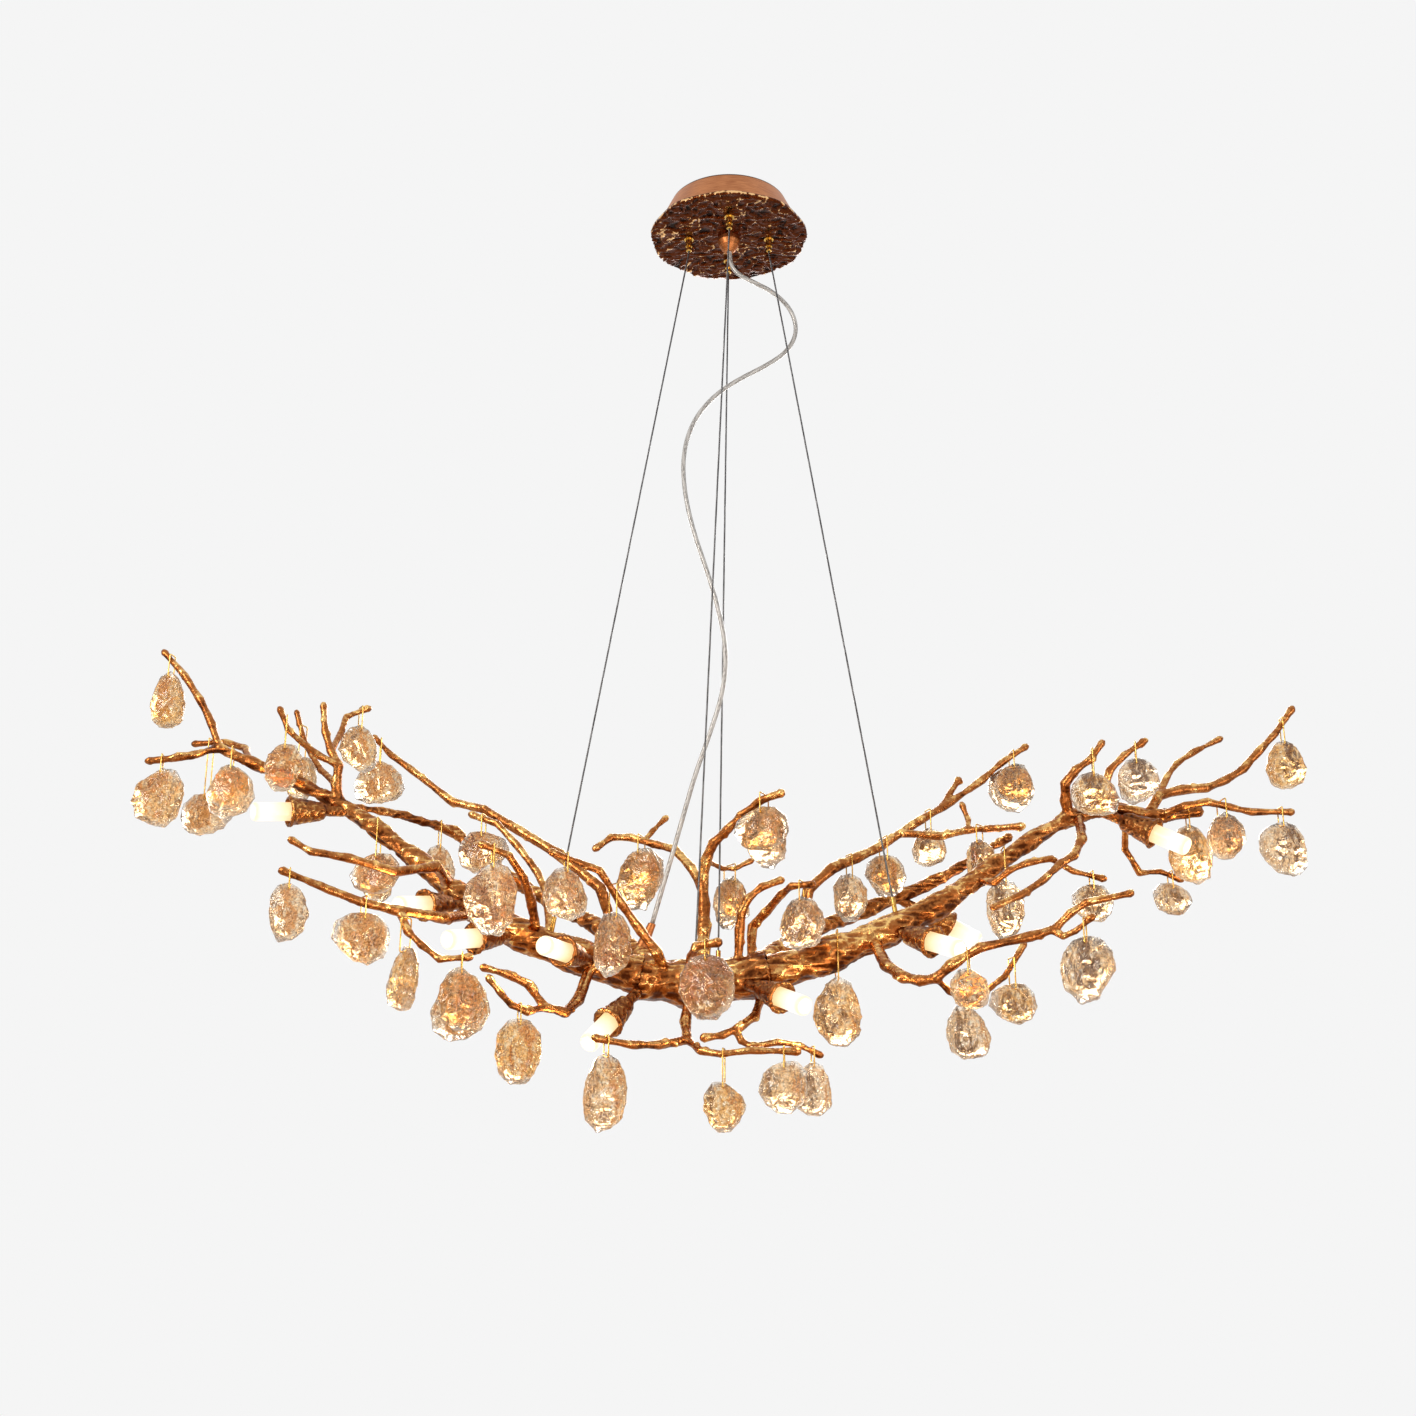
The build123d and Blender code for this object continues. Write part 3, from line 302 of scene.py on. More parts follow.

# %% [markdown]
# ## Glass
# The drops are cast with a wrinkled skin full of small pits, and the melt is clear in some and amber in
# others. Light is tinted where it passes the skin, so the amber lies in the base colour and not in a
# volume: each drop stores its own share of amber, clear towards the rim. The hollows of the wrinkles are
# darkened in veins, a painted shade, with thin lines and specks between them.


# %% Glass finish
def wrinkled_glass():
    finish = Finish("wrinkled_glass")
    relief = finish.measured("relief")
    amber = finish.measured("amber")
    rim = finish.measured("rim")
    mottle = finish.noise(230.0, 5.0)
    flecks = finish.noise(560.0, 4.0)
    core = (1 - rim.between(0.15, 0.85)) * (0.25 + 0.75 * amber)
    tint = core * mottle.between(0.32, 0.56)
    pale = finish.mix(core, shade(254, 252, 248), shade(255, 240, 208))
    colour = finish.mix(tint, pale, shade(252, 194, 114))
    line = 1 - abs(finish.noise(210.0, 4.0) - 0.5).between(0.004, 0.022)
    colour = finish.mix(line * 0.85, colour, finish.mix(core, shade(66, 62, 60), shade(104, 54, 18)))
    # Painted shade: the hollows of the wrinkles are darkened in veins, greyer towards the rim.
    crease_shade = (1 - relief).between(0.38, 0.75) * flecks.between(0.46, 0.58)
    colour = finish.mix(crease_shade * 0.92, colour, finish.mix(core, shade(72, 68, 66), shade(132, 72, 24)))
    specks = finish.noise(460.0, 3.0).between(0.56, 0.66)
    colour = finish.mix(specks * (0.3 + 0.4 * core), colour, shade(112, 64, 26))
    return finish.surface({
        "Base Color": colour,
        "Metallic": 0.0,
        "Roughness": 0.02 + 0.12 * flecks.between(0.5, 0.8),
        "IOR": 1.5,
        "Transmission Weight": 0.88,
        "Normal": finish.bump(0.7 * mottle + 0.3 * flecks, 0.45, 0.0018),
    })


drop_glass = wrinkled_glass()
print("glass", drop_glass.name)

# %% [markdown]
# ## Lamps, porcelain and plastics
# The lamps are lit, so their frosted tube is an emitter that is near white, a little warmer towards its
# foot. The holders are dull porcelain, the terminal block is moulded, and the cord has a clear glossy
# sheath over its conductors. A truly clear sheath would need the conductors modelled, so their lay is
# drawn under a coat.


# %% Lamp, porcelain and plastic finishes
def lit_tube():
    finish = Finish("lit_tube")
    warmth = finish.measured("foot").between(0.2, 0.75) + 0.7 * finish.measured("edge")
    frost = finish.noise(300.0, 2.0)
    glow = finish.mix(warmth + 0.2 * (frost - 0.5), shade(255, 253, 244), shade(255, 216, 150))
    return finish.surface({
        "Base Color": shade(120, 108, 84),
        "Roughness": 0.35,
        "Emission Color": glow,
        "Emission Strength": 1.02,
    })


def moulded(name, dark, light, gloss):
    finish = Finish(name)
    grain = finish.noise(900.0, 3.0)
    cloud = finish.noise(30.0, 2.0)
    return finish.surface({
        "Base Color": finish.mix((0.5 * grain + 0.5 * cloud).between(0.35, 0.65), dark, light),
        "Roughness": gloss + 0.12 * (grain - 0.5),
        "Normal": finish.bump(grain, 0.15, 0.0002),
    })


def cord_sheath():
    """Clear sheath: the lay of the conductors shows through it as slanting bands."""
    finish = Finish("cord_sheath")
    lay = finish.measured("lay")
    band = abs(lay - 0.5).between(0.1, 0.4)
    cloud = finish.noise(60.0, 2.0)
    return finish.surface({
        "Base Color": finish.mix(
            band * 0.8 + 0.3 * (cloud - 0.5), shade(186, 183, 180), shade(120, 116, 113)),
        "Metallic": 0.35 * band,
        "Roughness": 0.3 + 0.1 * (cloud - 0.5),
        "Coat Weight": 0.8,
        "Coat Roughness": 0.08,
    })


lamp_tube = lit_tube()
porcelain = moulded("porcelain", shade(216, 212, 202), shade(240, 236, 228), 0.5)
terminal_plastic = moulded("terminal_plastic", shade(205, 205, 200), shade(232, 232, 228), 0.45)
sheath = cord_sheath()
print("soft finishes", lamp_tube.name, porcelain.name, terminal_plastic.name, sheath.name)

# %% [markdown]
# ## Pieces that keep their solids
# Turned and bent pieces already have their true shape in the frame. New meshes would add nothing to them,
# so they only get a finish in place of the plain one that the frame gives them.

# %% Finishes on kept nodes
KEPT_FINISHES = {
    "canopy_cup": satin_copper, "canopy_gland": satin_copper, "canopy_screws": bright_brass,
    "ceiling_bracket": zinc_plate, "terminal_block": terminal_plastic, "gripper_bodies": bright_brass,
    "gripper_nuts": bright_brass, "release_collar_left": bright_brass, "release_collar_right": bright_brass,
    "release_collar_front": bright_brass, "release_collar_back": bright_brass, "wire_ferrules": bright_brass,
    "frame_gland": satin_copper, "lamp_holders": porcelain, "drop_rings": bright_brass,
}


def dress(piece, finish):
    piece.data.materials.clear()
    piece.data.materials.append(finish)


for node_name, node_finish in KEPT_FINISHES.items():
    dress(frame["nodes"][node_name], node_finish)
print(len(KEPT_FINISHES), "nodes keep their solids")

# %% [markdown]
# ## Tubes along a line
# The cord and the rope strands are round tubes. A curve with a bevel would draw them too, but each tube
# is built as a mesh from rings of points along a line.


# %% Tube helpers
def smooth_line(route, steps):
    """Points along the smooth spline whose control points are the route."""
    curve = bpy.data.curves.new("route", "CURVE")
    curve.dimensions = "3D"
    curve.resolution_u = steps
    spline = curve.splines.new("NURBS")
    spline.points.add(len(route) - 1)
    for point, place in zip(spline.points, route):
        point.co = (*place, 1.0)
    spline.order_u = 3
    spline.use_endpoint_u = True
    holder = bpy.data.objects.new("route", curve)
    mesh = bpy.data.meshes.new_from_object(holder)
    points = np.array([vertex.co for vertex in mesh.vertices])
    bpy.data.objects.remove(holder)
    return points


def carried_axes(points):
    """Unit tangent and two axes across it at each point, turning as little as they can."""
    tangents = np.gradient(points, axis=0)
    tangents /= np.linalg.norm(tangents, axis=1)[:, None]
    across = np.zeros_like(points)
    axis = np.array([0.0, 1.0, 0.0])
    for index, tangent in enumerate(tangents):
        axis = axis - tangent * (axis @ tangent)
        axis /= np.linalg.norm(axis)
        across[index] = axis
    return tangents, across, np.cross(tangents, across)


def tube_rows(points, radius, sides):
    """Points and faces of a closed tube along a line, ring by ring."""
    _, across, up = carried_axes(points)
    turn = 2 * np.pi * np.arange(sides) / sides
    ring = np.cos(turn)[None, :, None] * across[:, None, :] + np.sin(turn)[None, :, None] * up[:, None, :]
    vertices = (points[:, None, :] + radius * ring).reshape(-1, 3)
    faces = []
    for row in range(len(points) - 1):
        for side in range(sides):
            after = (side + 1) % sides
            faces.append((row * sides + side, row * sides + after,
                          (row + 1) * sides + after, (row + 1) * sides + side))
    last = (len(points) - 1) * sides
    faces.append(tuple(range(sides - 1, -1, -1)))
    faces.append(tuple(range(last, last + sides)))
    return vertices, faces


def new_piece(name, vertices, faces, finish):
    """Object with a smooth mesh of these points and faces."""
    mesh = bpy.data.meshes.new(name)
    mesh.from_pydata(np.asarray(vertices).tolist(), [], faces)
    mesh.shade_smooth()
    mesh.materials.append(finish)
    piece = bpy.data.objects.new(name, mesh)
    scene.collection.objects.link(piece)
    return piece


def store(piece, name, values):
    """Keeps one value for each point of a mesh, for its finish to read."""
    attribute = piece.data.attributes.new(name, "FLOAT", "POINT")
    attribute.data.foreach_set("value", np.asarray(values, dtype=np.float32))


print("tube helpers ready")

# %% [markdown]
# ## Power cord
# The cord hangs loose from the canopy's gland to the cone on the rear bough: one loop to the right, one
# to the left and a slack bow below. A simulated cord would fall differently, so its route is a list of
# control points, and the spline between them bends as a real sheath does.

# %% Cord along its route
CORD_ROUTE = [
    (0.000, 0.000, -0.036), (0.000, 0.000, -0.064), (0.006, 0.000, -0.084), (0.026, 0.000, -0.096),
    (0.052, 0.004, -0.108), (0.072, 0.009, -0.128), (0.078, 0.013, -0.154), (0.066, 0.015, -0.178),
    (0.040, 0.012, -0.198), (0.008, 0.007, -0.218), (-0.020, 0.002, -0.242), (-0.042, 0.000, -0.274),
    (-0.052, -0.001, -0.314), (-0.050, 0.000, -0.358), (-0.040, 0.001, -0.404), (-0.025, 0.001, -0.450),
    (-0.012, 0.002, -0.496), (-0.004, 0.005, -0.542), (-0.008, 0.008, -0.586), (-0.022, 0.013, -0.630),
    (-0.038, 0.020, -0.674), (-0.050, 0.027, -0.716), (-0.062, 0.033, -0.758), (-0.073, 0.037, -0.796),
    (-0.082, 0.039, -0.828)]
CORD_DIAMETER = 0.005
CORD_SIDES = 16
CORD_STEPS = 8
CORD_LAY_PITCH = 0.03
HEIGHT_JOINT = next(joint for joint in frame["joints"] if joint["name"] == "height_adjust")
LIFT = HEIGHT_JOINT["range_m"][1]
FIXED_END = {row["node"]: row["fixed_end_z_m"] for row in HEIGHT_JOINT["deforming_nodes"]}


def length_along(points):
    """Distance from the first point to each point of a line."""
    return np.concatenate([[0.0], np.cumsum(np.linalg.norm(np.diff(points, axis=0), axis=1))])


def shorten_with_lift(piece, node, lowest):
    """Gives the piece a mesh of its own; the share of its reach left at full lift is worked out, not used.
    """
    top = FIXED_END[node]
    reach = top - lowest
    (reach - LIFT) / reach
    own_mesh(piece)


cord_line = smooth_line(CORD_ROUTE, CORD_STEPS)
cord_length = length_along(cord_line)
cord_vertices, cord_faces = tube_rows(cord_line, CORD_DIAMETER / 2, CORD_SIDES)
cord = new_piece("cord_sheathed", cord_vertices, cord_faces, sheath)
cord_turn = np.tile(np.arange(CORD_SIDES) / CORD_SIDES, len(cord_line))
store(cord, "lay", (np.repeat(cord_length / CORD_LAY_PITCH, CORD_SIDES) + 2 * cord_turn) % 1.0)
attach(cord, "canopy")
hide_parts("power_cord")
shorten_with_lift(cord, "power_cord", CORD_ROUTE[-1][2])
print("cord", round(float(cord_length[-1]), 3), "m")

# %% [markdown]
# ## Suspension ropes
# Each wire is a small steel rope of six strands. Strands could be a bump on a smooth tube, but close by
# their edge is what catches the light, so six thin tubes wind round the line that the rope follows.

# %% Steel ropes
ROPE_DIAMETER = 0.002
STRANDS = 6
STRAND_PITCH = 0.012
STRAND_RADIUS = 0.00036
STRAND_SIDES = 5
ROPE_STEP = 0.0012
ROPE_END = 0.0005
BEND_REACH = 0.004
BEND_STEPS = 12


def rope_line(node):
    """Line of a rope: straight down through its gripper, a small bend, then taut to its ferrule."""
    points = np.array([vertex.co for vertex in frame["nodes"][node].data.vertices])
    top = points[points[:, 2] > points[:, 2].max() - ROPE_END].mean(axis=0)
    foot = points[points[:, 2] < points[:, 2].min() + ROPE_END].mean(axis=0)
    bend = np.array([top[0], top[1], FIXED_END[node]])
    down = (foot - bend) / np.linalg.norm(foot - bend)
    above = bend + (0, 0, BEND_REACH)
    below = bend + BEND_REACH * down
    corner = smooth_line([top, above, bend, below, foot], BEND_STEPS)
    along = length_along(corner)
    even = np.linspace(0.0, along[-1], int(along[-1] / ROPE_STEP))
    return np.stack([np.interp(even, along, corner[:, axis]) for axis in range(3)], axis=1), even


def steel_rope(node):
    line, along = rope_line(node)
    _, across, up = carried_axes(line)
    lay_radius = ROPE_DIAMETER / 2 - STRAND_RADIUS
    vertices, faces = [], []
    for strand in range(STRANDS):
        turn = 2 * np.pi * (along / STRAND_PITCH + strand / STRANDS)
        offset = np.cos(turn)[:, None] * across + np.sin(turn)[:, None] * up
        rows, strand_faces = tube_rows(line + lay_radius * offset, STRAND_RADIUS, STRAND_SIDES)
        start = sum(len(block) for block in vertices)
        vertices.append(rows)
        faces += [tuple(index + start for index in face) for face in strand_faces]
    rope = new_piece(node + "_rope", np.concatenate(vertices), faces, drawn_steel)
    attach(rope, "canopy")
    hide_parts(node)
    shorten_with_lift(rope, node, line[-1][2])
    return along[-1]


for side in ("left", "right", "front", "back"):
    print("rope", side, round(float(steel_rope("wire_" + side)), 3), "m")

# %% [markdown]
# ## Relief by noise
# Castings and cast glass are never smooth. The solids are remeshed evenly and their points moved along
# the normals by layered noise. Blender's Displace modifier could do it with textures, but here the same
# noise also has to be stored for the finish, so it is a short function of its own.


# %% Noise and remeshing
LATTICE = 4096
LATTICE_STRIDES = (73856093, 19349663, 83492791)
RIDGE_SHARPNESS = 0.7


def lumps(points, size, seed):
    """Smooth noise between -1 and 1 whose lumps are about that size."""
    values = np.random.default_rng(seed).uniform(-1, 1, LATTICE)
    scaled = points / size
    cell = np.floor(scaled).astype(np.int64)
    share = scaled - cell
    share = share * share * (3 - 2 * share)
    total = np.zeros(len(points))
    for corner in range(8):
        step = np.array([corner & 1, corner >> 1 & 1, corner >> 2 & 1])
        at = cell + step
        strides = at * np.array(LATTICE_STRIDES)
        key = (strides[:, 0] ^ strides[:, 1] ^ strides[:, 2]) % LATTICE
        weight = np.where(step == 1, share, 1 - share).prod(axis=1)
        total += weight * values[key]
    return total


def ridges(points, size, seed):
    """Noise between -1 and 1 that peaks along thin wandering lines."""
    return 1 - 2 * np.abs(lumps(points, size, seed)) ** RIDGE_SHARPNESS


def drifted(points, size, reach, seed):
    """Points moved about by noise, so that ridges read from them wander."""
    return points + np.stack([lumps(points, size, seed + axis) for axis in range(3)], axis=1) * reach


def welded(node):
    """Mesh of a node with the points of its faces joined, as a bmesh."""
    body = bmesh.new()
    body.from_mesh(frame["nodes"][node].data)
    bmesh.ops.remove_doubles(body, verts=body.verts, dist=1e-6)
    return body


def even_mesh(body, voxel, rounds):
    """Even closed mesh round a bmesh, smoothed a few times, as points, normals and faces."""
    mesh = bpy.data.meshes.new("even")
    body.to_mesh(mesh)
    holder = bpy.data.objects.new("even", mesh)
    scene.collection.objects.link(holder)
    remesh = holder.modifiers.new("even", "REMESH")
    remesh.mode = "VOXEL"
    remesh.voxel_size = voxel
    soften = holder.modifiers.new("soften", "SMOOTH")
    soften.factor = 0.5
    soften.iterations = rounds
    graph = bpy.context.evaluated_depsgraph_get()
    result = bpy.data.meshes.new_from_object(holder.evaluated_get(graph))
    points = np.empty(len(result.vertices) * 3)
    result.vertices.foreach_get("co", points)
    normals = np.empty(len(result.vertices) * 3)
    result.vertex_normals.foreach_get("vector", normals)
    faces = [tuple(face.vertices) for face in result.polygons]
    bpy.data.objects.remove(holder)
    return points.reshape(-1, 3), normals.reshape(-1, 3), faces


print("relief helpers ready")

# %% [markdown]
# ## Boughs and twigs
# The branch is welded from castings, and the welds are dressed so that twigs flow into their boughs.
# Boolean unions would keep hard seams there; one remesh over a bough with its twigs melts the joints.
# Bark stands up on the thick boughs in long flakes, and knuckles and leaf scars sit along the thin twigs.

# %% Cast branches
BRANCHES = {
    "branch_left": ["left_bough", "twigs_left", "twigs_lower_left"],
    "branch_centre": ["hub", "rear_left_bough", "rear_right_bough", "twigs_centre", "twigs_lower_centre"],
    "branch_right": ["right_bough", "twigs_right", "twigs_lower_right"],
}
THICK_NODES = ("hub", "left_bough", "right_bough", "rear_left_bough", "rear_right_bough")
BRANCH_VOXEL = 0.0012
BOUGH_FADE = 0.002
KNUCKLE_SIZE = 0.013
BARK_SIZE = 0.0045
BARK_STRETCH = np.array([0.3, 1.0, 1.0])
CAST_GRAIN_SIZE = 0.0026
CAST_GRAIN_HEIGHT = 0.00014
SCARS = 90
SCAR_SIZE = 0.0028
SCAR_HEIGHT = 0.0016


def near_bough(points, bodies):
    """1 on the skin of a thick bough, 0 a few millimetres away from it."""
    weight = np.zeros(len(points))
    for body in bodies:
        tree = BVHTree.FromBMesh(body)
        gaps = np.array([tree.find_nearest(Vector(point))[3] for point in points])
        weight = np.maximum(weight, np.clip(1.5 - gaps / BOUGH_FADE, 0, 1))
    return weight


def scars(points, seed):
    """Small knobs round points picked at random."""
    rng = np.random.default_rng(seed)
    height = np.zeros(len(points))
    for centre in points[rng.integers(0, len(points), SCARS)]:
        gap = np.linalg.norm(points - centre, axis=1)
        height = np.maximum(height, np.exp(-(gap / SCAR_SIZE) ** 2))
    return height


def cast_branch(name, nodes, seed):
    merged = bmesh.new()
    thick = []
    for node in nodes:
        merged.from_mesh(frame["nodes"][node].data)
        if node in THICK_NODES:
            thick.append(welded(node))
    points, normals, faces = even_mesh(merged, BRANCH_VOXEL, 3)
    bough = near_bough(points, thick)
    swell = lumps(points, KNUCKLE_SIZE, seed)
    bark = ridges(points * BARK_STRETCH, BARK_SIZE, seed + 1)
    grain = lumps(points, CAST_GRAIN_SIZE, seed + 2)
    knob = scars(points, seed + 3)
    swell_height = 0.0006 + 0.0008 * bough
    bark_height = 0.0002 + 0.0009 * bough
    height = swell * swell_height + bark * bark_height + CAST_GRAIN_HEIGHT * grain
    height += SCAR_HEIGHT * knob * (1 - bough)
    piece = new_piece(name, points + normals * height[:, None], faces, branch_bronze)
    relief = 0.5 + (0.16 + 0.16 * bough) * bark + 0.1 * swell + 0.14 * grain - 0.12 * bough
    # Painted highlight and shade: faces that look up are made lighter gold, faces that look down darker.
    relief += 0.16 * normals[:, 2] + 0.35 * knob * (1 - bough)
    store(piece, "relief", np.clip(relief, 0, 1))
    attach(piece, "branch_frame")
    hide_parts(*nodes)
    return len(points)


for number, (branch_name, branch_nodes) in enumerate(BRANCHES.items()):
    print(branch_name, cast_branch(branch_name, branch_nodes, 10 * number + 1), "points")

# %% [markdown]
# ## Lamp cups
# Each lamp stands in a flared cup with a beaded rim, whose skin is engraved like rough bark. Engraving
# could be a bump, but the rim's outline shows it too, so the cups are remeshed finely enough to keep
# their wall, and low ridges are cut into it. The skin is sunk a little, so that the ridges keep clear of
# the lamps.


# %% Solids of one node and lamp axes
def islands(body):
    """The separate solids of a bmesh, each as a list of its faces."""
    left = set(body.faces)
    groups = []
    for seed_face in body.faces:
        if seed_face not in left:
            continue
        stack, found = [seed_face], []
        left.discard(seed_face)
        while stack:
            face = stack.pop()
            found.append(face)
            for edge in face.edges:
                for other in edge.link_faces:
                    if other in left:
                        left.discard(other)
                        stack.append(other)
        groups.append(found)
    return groups


def part_of(faces):
    """One solid as a bmesh of its own."""
    solid = bmesh.new()
    copies = {}
    for face in faces:
        for vertex in face.verts:
            if vertex not in copies:
                copies[vertex] = solid.verts.new(vertex.co)
        solid.faces.new([copies[vertex] for vertex in face.verts])
    return solid


def corners_of(faces):
    """Points of one solid."""
    return np.array([vertex.co for vertex in {v for face in faces for v in face.verts}])


def lamp_axes():
    """Foot, outward direction and length of each lamp, which points away from its nearest holder."""
    holder_body = welded("lamp_holders")
    holders = np.array([corners_of(faces).mean(axis=0) for faces in islands(holder_body)])
    axes = []
    lamp_body = welded("lamps")
    for faces in islands(lamp_body):
        points = corners_of(faces)
        centre = points.mean(axis=0)
        spread = points - centre
        direction = np.linalg.svd(spread, full_matrices=False)[2][0]
        holder = holders[np.argmin(np.linalg.norm(holders - centre, axis=1))]
        direction = direction * np.sign((centre - holder) @ direction)
        along = spread @ direction
        axes.append((centre + direction * along.min(), direction, along.max() - along.min()))
    return axes


lamp_rows = lamp_axes()
print(len(lamp_rows), "lamps point outward")

# %% Engraved cups
CUP_VOXEL = 0.001
CUP_SEED = 71
CUP_RIDGE_SIZE = 0.0042
CUP_RIDGE_HEIGHT = 0.0005
CUP_CROSS_SIZE = 0.003
CUP_CROSS_HEIGHT = 0.0003
CUP_CROSS_STRETCH = np.array([1.0, 0.4, 1.0])
CUP_GRAIN_SIZE = 0.0018
CUP_GRAIN_HEIGHT = 0.00012
CUP_SINK = 0.0003


def engraved_cups():
    points, normals, faces = even_mesh(welded("lamp_cups"), CUP_VOXEL, 1)
    wrinkle = ridges(points, CUP_RIDGE_SIZE, CUP_SEED)
    cross = ridges(points * CUP_CROSS_STRETCH, CUP_CROSS_SIZE, CUP_SEED + 1)
    grain = lumps(points, CUP_GRAIN_SIZE, CUP_SEED + 2)
    height = CUP_RIDGE_HEIGHT * wrinkle + CUP_CROSS_HEIGHT * cross + CUP_GRAIN_HEIGHT * grain - CUP_SINK
    piece = new_piece("engraved_lamp_cups", points + normals * height[:, None], faces, cup_bronze)
    store(piece, "relief", np.clip(0.45 + 0.3 * wrinkle + 0.2 * cross + 0.1 * grain, 0, 1))
    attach(piece, "branch_frame")
    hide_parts("lamp_cups")
    return len(points)


print("cups", engraved_cups(), "points for", len(lamp_rows), "lamps")

# %% [markdown]
# ## Lit lamps
# A lamp is a frosted tube that glows evenly. Its glow alone would take many samples to light what is
# near, so a small warm light stands in front of each tube. The tube keeps its solid's outline and stores
# how near each point is to its foot and to its front edge.

# %% Lamps and their light
LAMP_VOXEL = 0.0012
EDGE_FADE = 0.004
LAMP_WATTS = 0.22
LAMP_WARMTH = (1.0, 0.78, 0.48)
LIGHT_SOFTNESS = 0.012
LIGHT_AHEAD = 0.016
OWN_POINTS = 0.6


def lamp_pieces():
    points, _, faces = even_mesh(welded("lamps"), LAMP_VOXEL, 1)
    piece = new_piece("lit_lamps", points, faces, lamp_tube)
    share = np.zeros(len(points))
    edge = np.zeros(len(points))
    for foot, direction, long in lamp_rows:
        near = np.linalg.norm(points - foot - direction * long / 2, axis=1) < long * OWN_POINTS
        along = (points[near] - foot) @ direction
        across = np.linalg.norm(points[near] - foot - np.outer(along, direction), axis=1)
        share[near] = 1 - along / long
        edge[near] = np.exp(-((long - along) / EDGE_FADE) ** 2) * np.clip(across / EDGE_FADE - 1, 0, 1)
    store(piece, "foot", share)
    store(piece, "edge", edge)
    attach(piece, "branch_frame")
    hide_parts("lamps")


def lamp_light(number, foot, direction, long):
    light = bpy.data.lights.new(f"lamp_light_{number}", "POINT")
    light.energy = LAMP_WATTS
    light.color = LAMP_WARMTH
    light.shadow_soft_size = LIGHT_SOFTNESS
    holder = bpy.data.objects.new(light.name, light)
    holder.location = Vector(foot + direction * (long + LIGHT_AHEAD))
    holder.parent = frame["bodies"]["branch_frame"]
    scene.collection.objects.link(holder)


lamp_pieces()
for number, row in enumerate(lamp_rows):
    lamp_light(number, *row)
print(len(lamp_rows), "lamps lit")

# %% [markdown]
# ## Canopy plate
# The plate under the canopy's cup is a disc of beaten bronze: its underside is crinkled into worm-like
# folds that glint, and its rim waves. Folds in a bump would leave the rim plain, so the remeshed disc is
# folded, on its lower face only, and it stays flat against the cup.

# %% Crinkled plate
PLATE_VOXEL = 0.0011
PLATE_SEED = 81
PLATE_FOLD = 0.0017
PLATE_FOLD_SIZE = 0.0075
PLATE_CREASE_SIZE = 0.0035
PLATE_DRIFT_SIZE = 0.012
PLATE_DRIFT = 0.004


def crinkled_plate():
    points, normals, faces = even_mesh(welded("canopy_plate"), PLATE_VOXEL, 1)
    wandering = drifted(points, PLATE_DRIFT_SIZE, PLATE_DRIFT, PLATE_SEED)
    fold = ridges(wandering, PLATE_FOLD_SIZE, PLATE_SEED + 3)
    crease = ridges(wandering, PLATE_CREASE_SIZE, PLATE_SEED + 4)
    under = np.clip(-normals[:, 2] * 1.5, 0, 1)
    # Painted highlight: the side faces of the rim are made lighter gold, as a lit edge.
    rim = np.clip(1 - 2 * np.abs(normals[:, 2]), 0, 1)
    height = PLATE_FOLD * (0.75 * fold + 0.35 * crease) * under
    piece = new_piece("crinkled_plate", points + normals * height[:, None], faces, plate_bronze)
    store(piece, "relief", np.clip(0.4 + 0.32 * fold + 0.2 * crease + 0.35 * rim, 0, 1))
    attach(piece, "canopy")
    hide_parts("canopy_plate")
    return len(points)


print("plate", crinkled_plate(), "points")

# %% [markdown]
# ## Glass drops
# Each drop is a lump of cast glass, thick in the middle, with a pinched head where its ring goes through.
# One remesh over all drops would melt neighbours together, so every solid is remeshed alone, and gets
# wrinkles and an amber share of its own. Wrinkles rise less towards the head, because a drop that swings
# has to clear the twig above it.

# %% One cast drop
DROP_VOXEL = 0.0011
SWELL_SIZE = 0.017
SWELL_HEIGHT = 0.0019
WRINKLE_SIZE = 0.012
WRINKLE_HEIGHT = 0.001
CREASE_SIZE = 0.004
CREASE_HEIGHT = 0.0004
DROP_DRIFT_SIZE = 0.01
DROP_DRIFT = 0.003
DROP_SINK = 0.0003
SHOULDER = 0.5
HEAD_PINCH = 0.0007
RIM_START = 0.6


def wrinkled_solid(faces, seed):
    """Points, faces, relief and closeness to the rim of one cast drop."""
    points, normals, skin = even_mesh(part_of(faces), DROP_VOXEL, 2)
    wandering = drifted(points, DROP_DRIFT_SIZE, DROP_DRIFT, seed)
    swell = lumps(points, SWELL_SIZE, seed + 3)
    wrinkle = ridges(wandering, WRINKLE_SIZE, seed + 4)
    crease = ridges(wandering, CREASE_SIZE, seed + 5)
    height = SWELL_HEIGHT * swell + WRINKLE_HEIGHT * wrinkle + CREASE_HEIGHT * crease - DROP_SINK
    top, low = points[:, 2].max(), points[:, 2].min()
    below_head = np.clip((top - points[:, 2]) / (top - low) / SHOULDER, 0, 1)
    height = np.where(height > 0, height * below_head, height) - HEAD_PINCH * (1 - below_head)
    centre = points.mean(axis=0)
    spread = points - centre
    thin = np.linalg.svd(spread, full_matrices=False)[2][2]
    flat = spread - np.outer(spread @ thin, thin)
    rim = np.linalg.norm(flat, axis=1) / np.linalg.norm(flat, axis=1).max()
    rim = np.clip((rim - RIM_START) / (1 - RIM_START), 0, 1)
    relief = np.clip(0.5 + 0.3 * wrinkle + 0.22 * crease + 0.12 * swell, 0, 1)
    return points + normals * height[:, None], skin, relief, rim


print("drops are remeshed at", DROP_VOXEL * 1000, "mm")

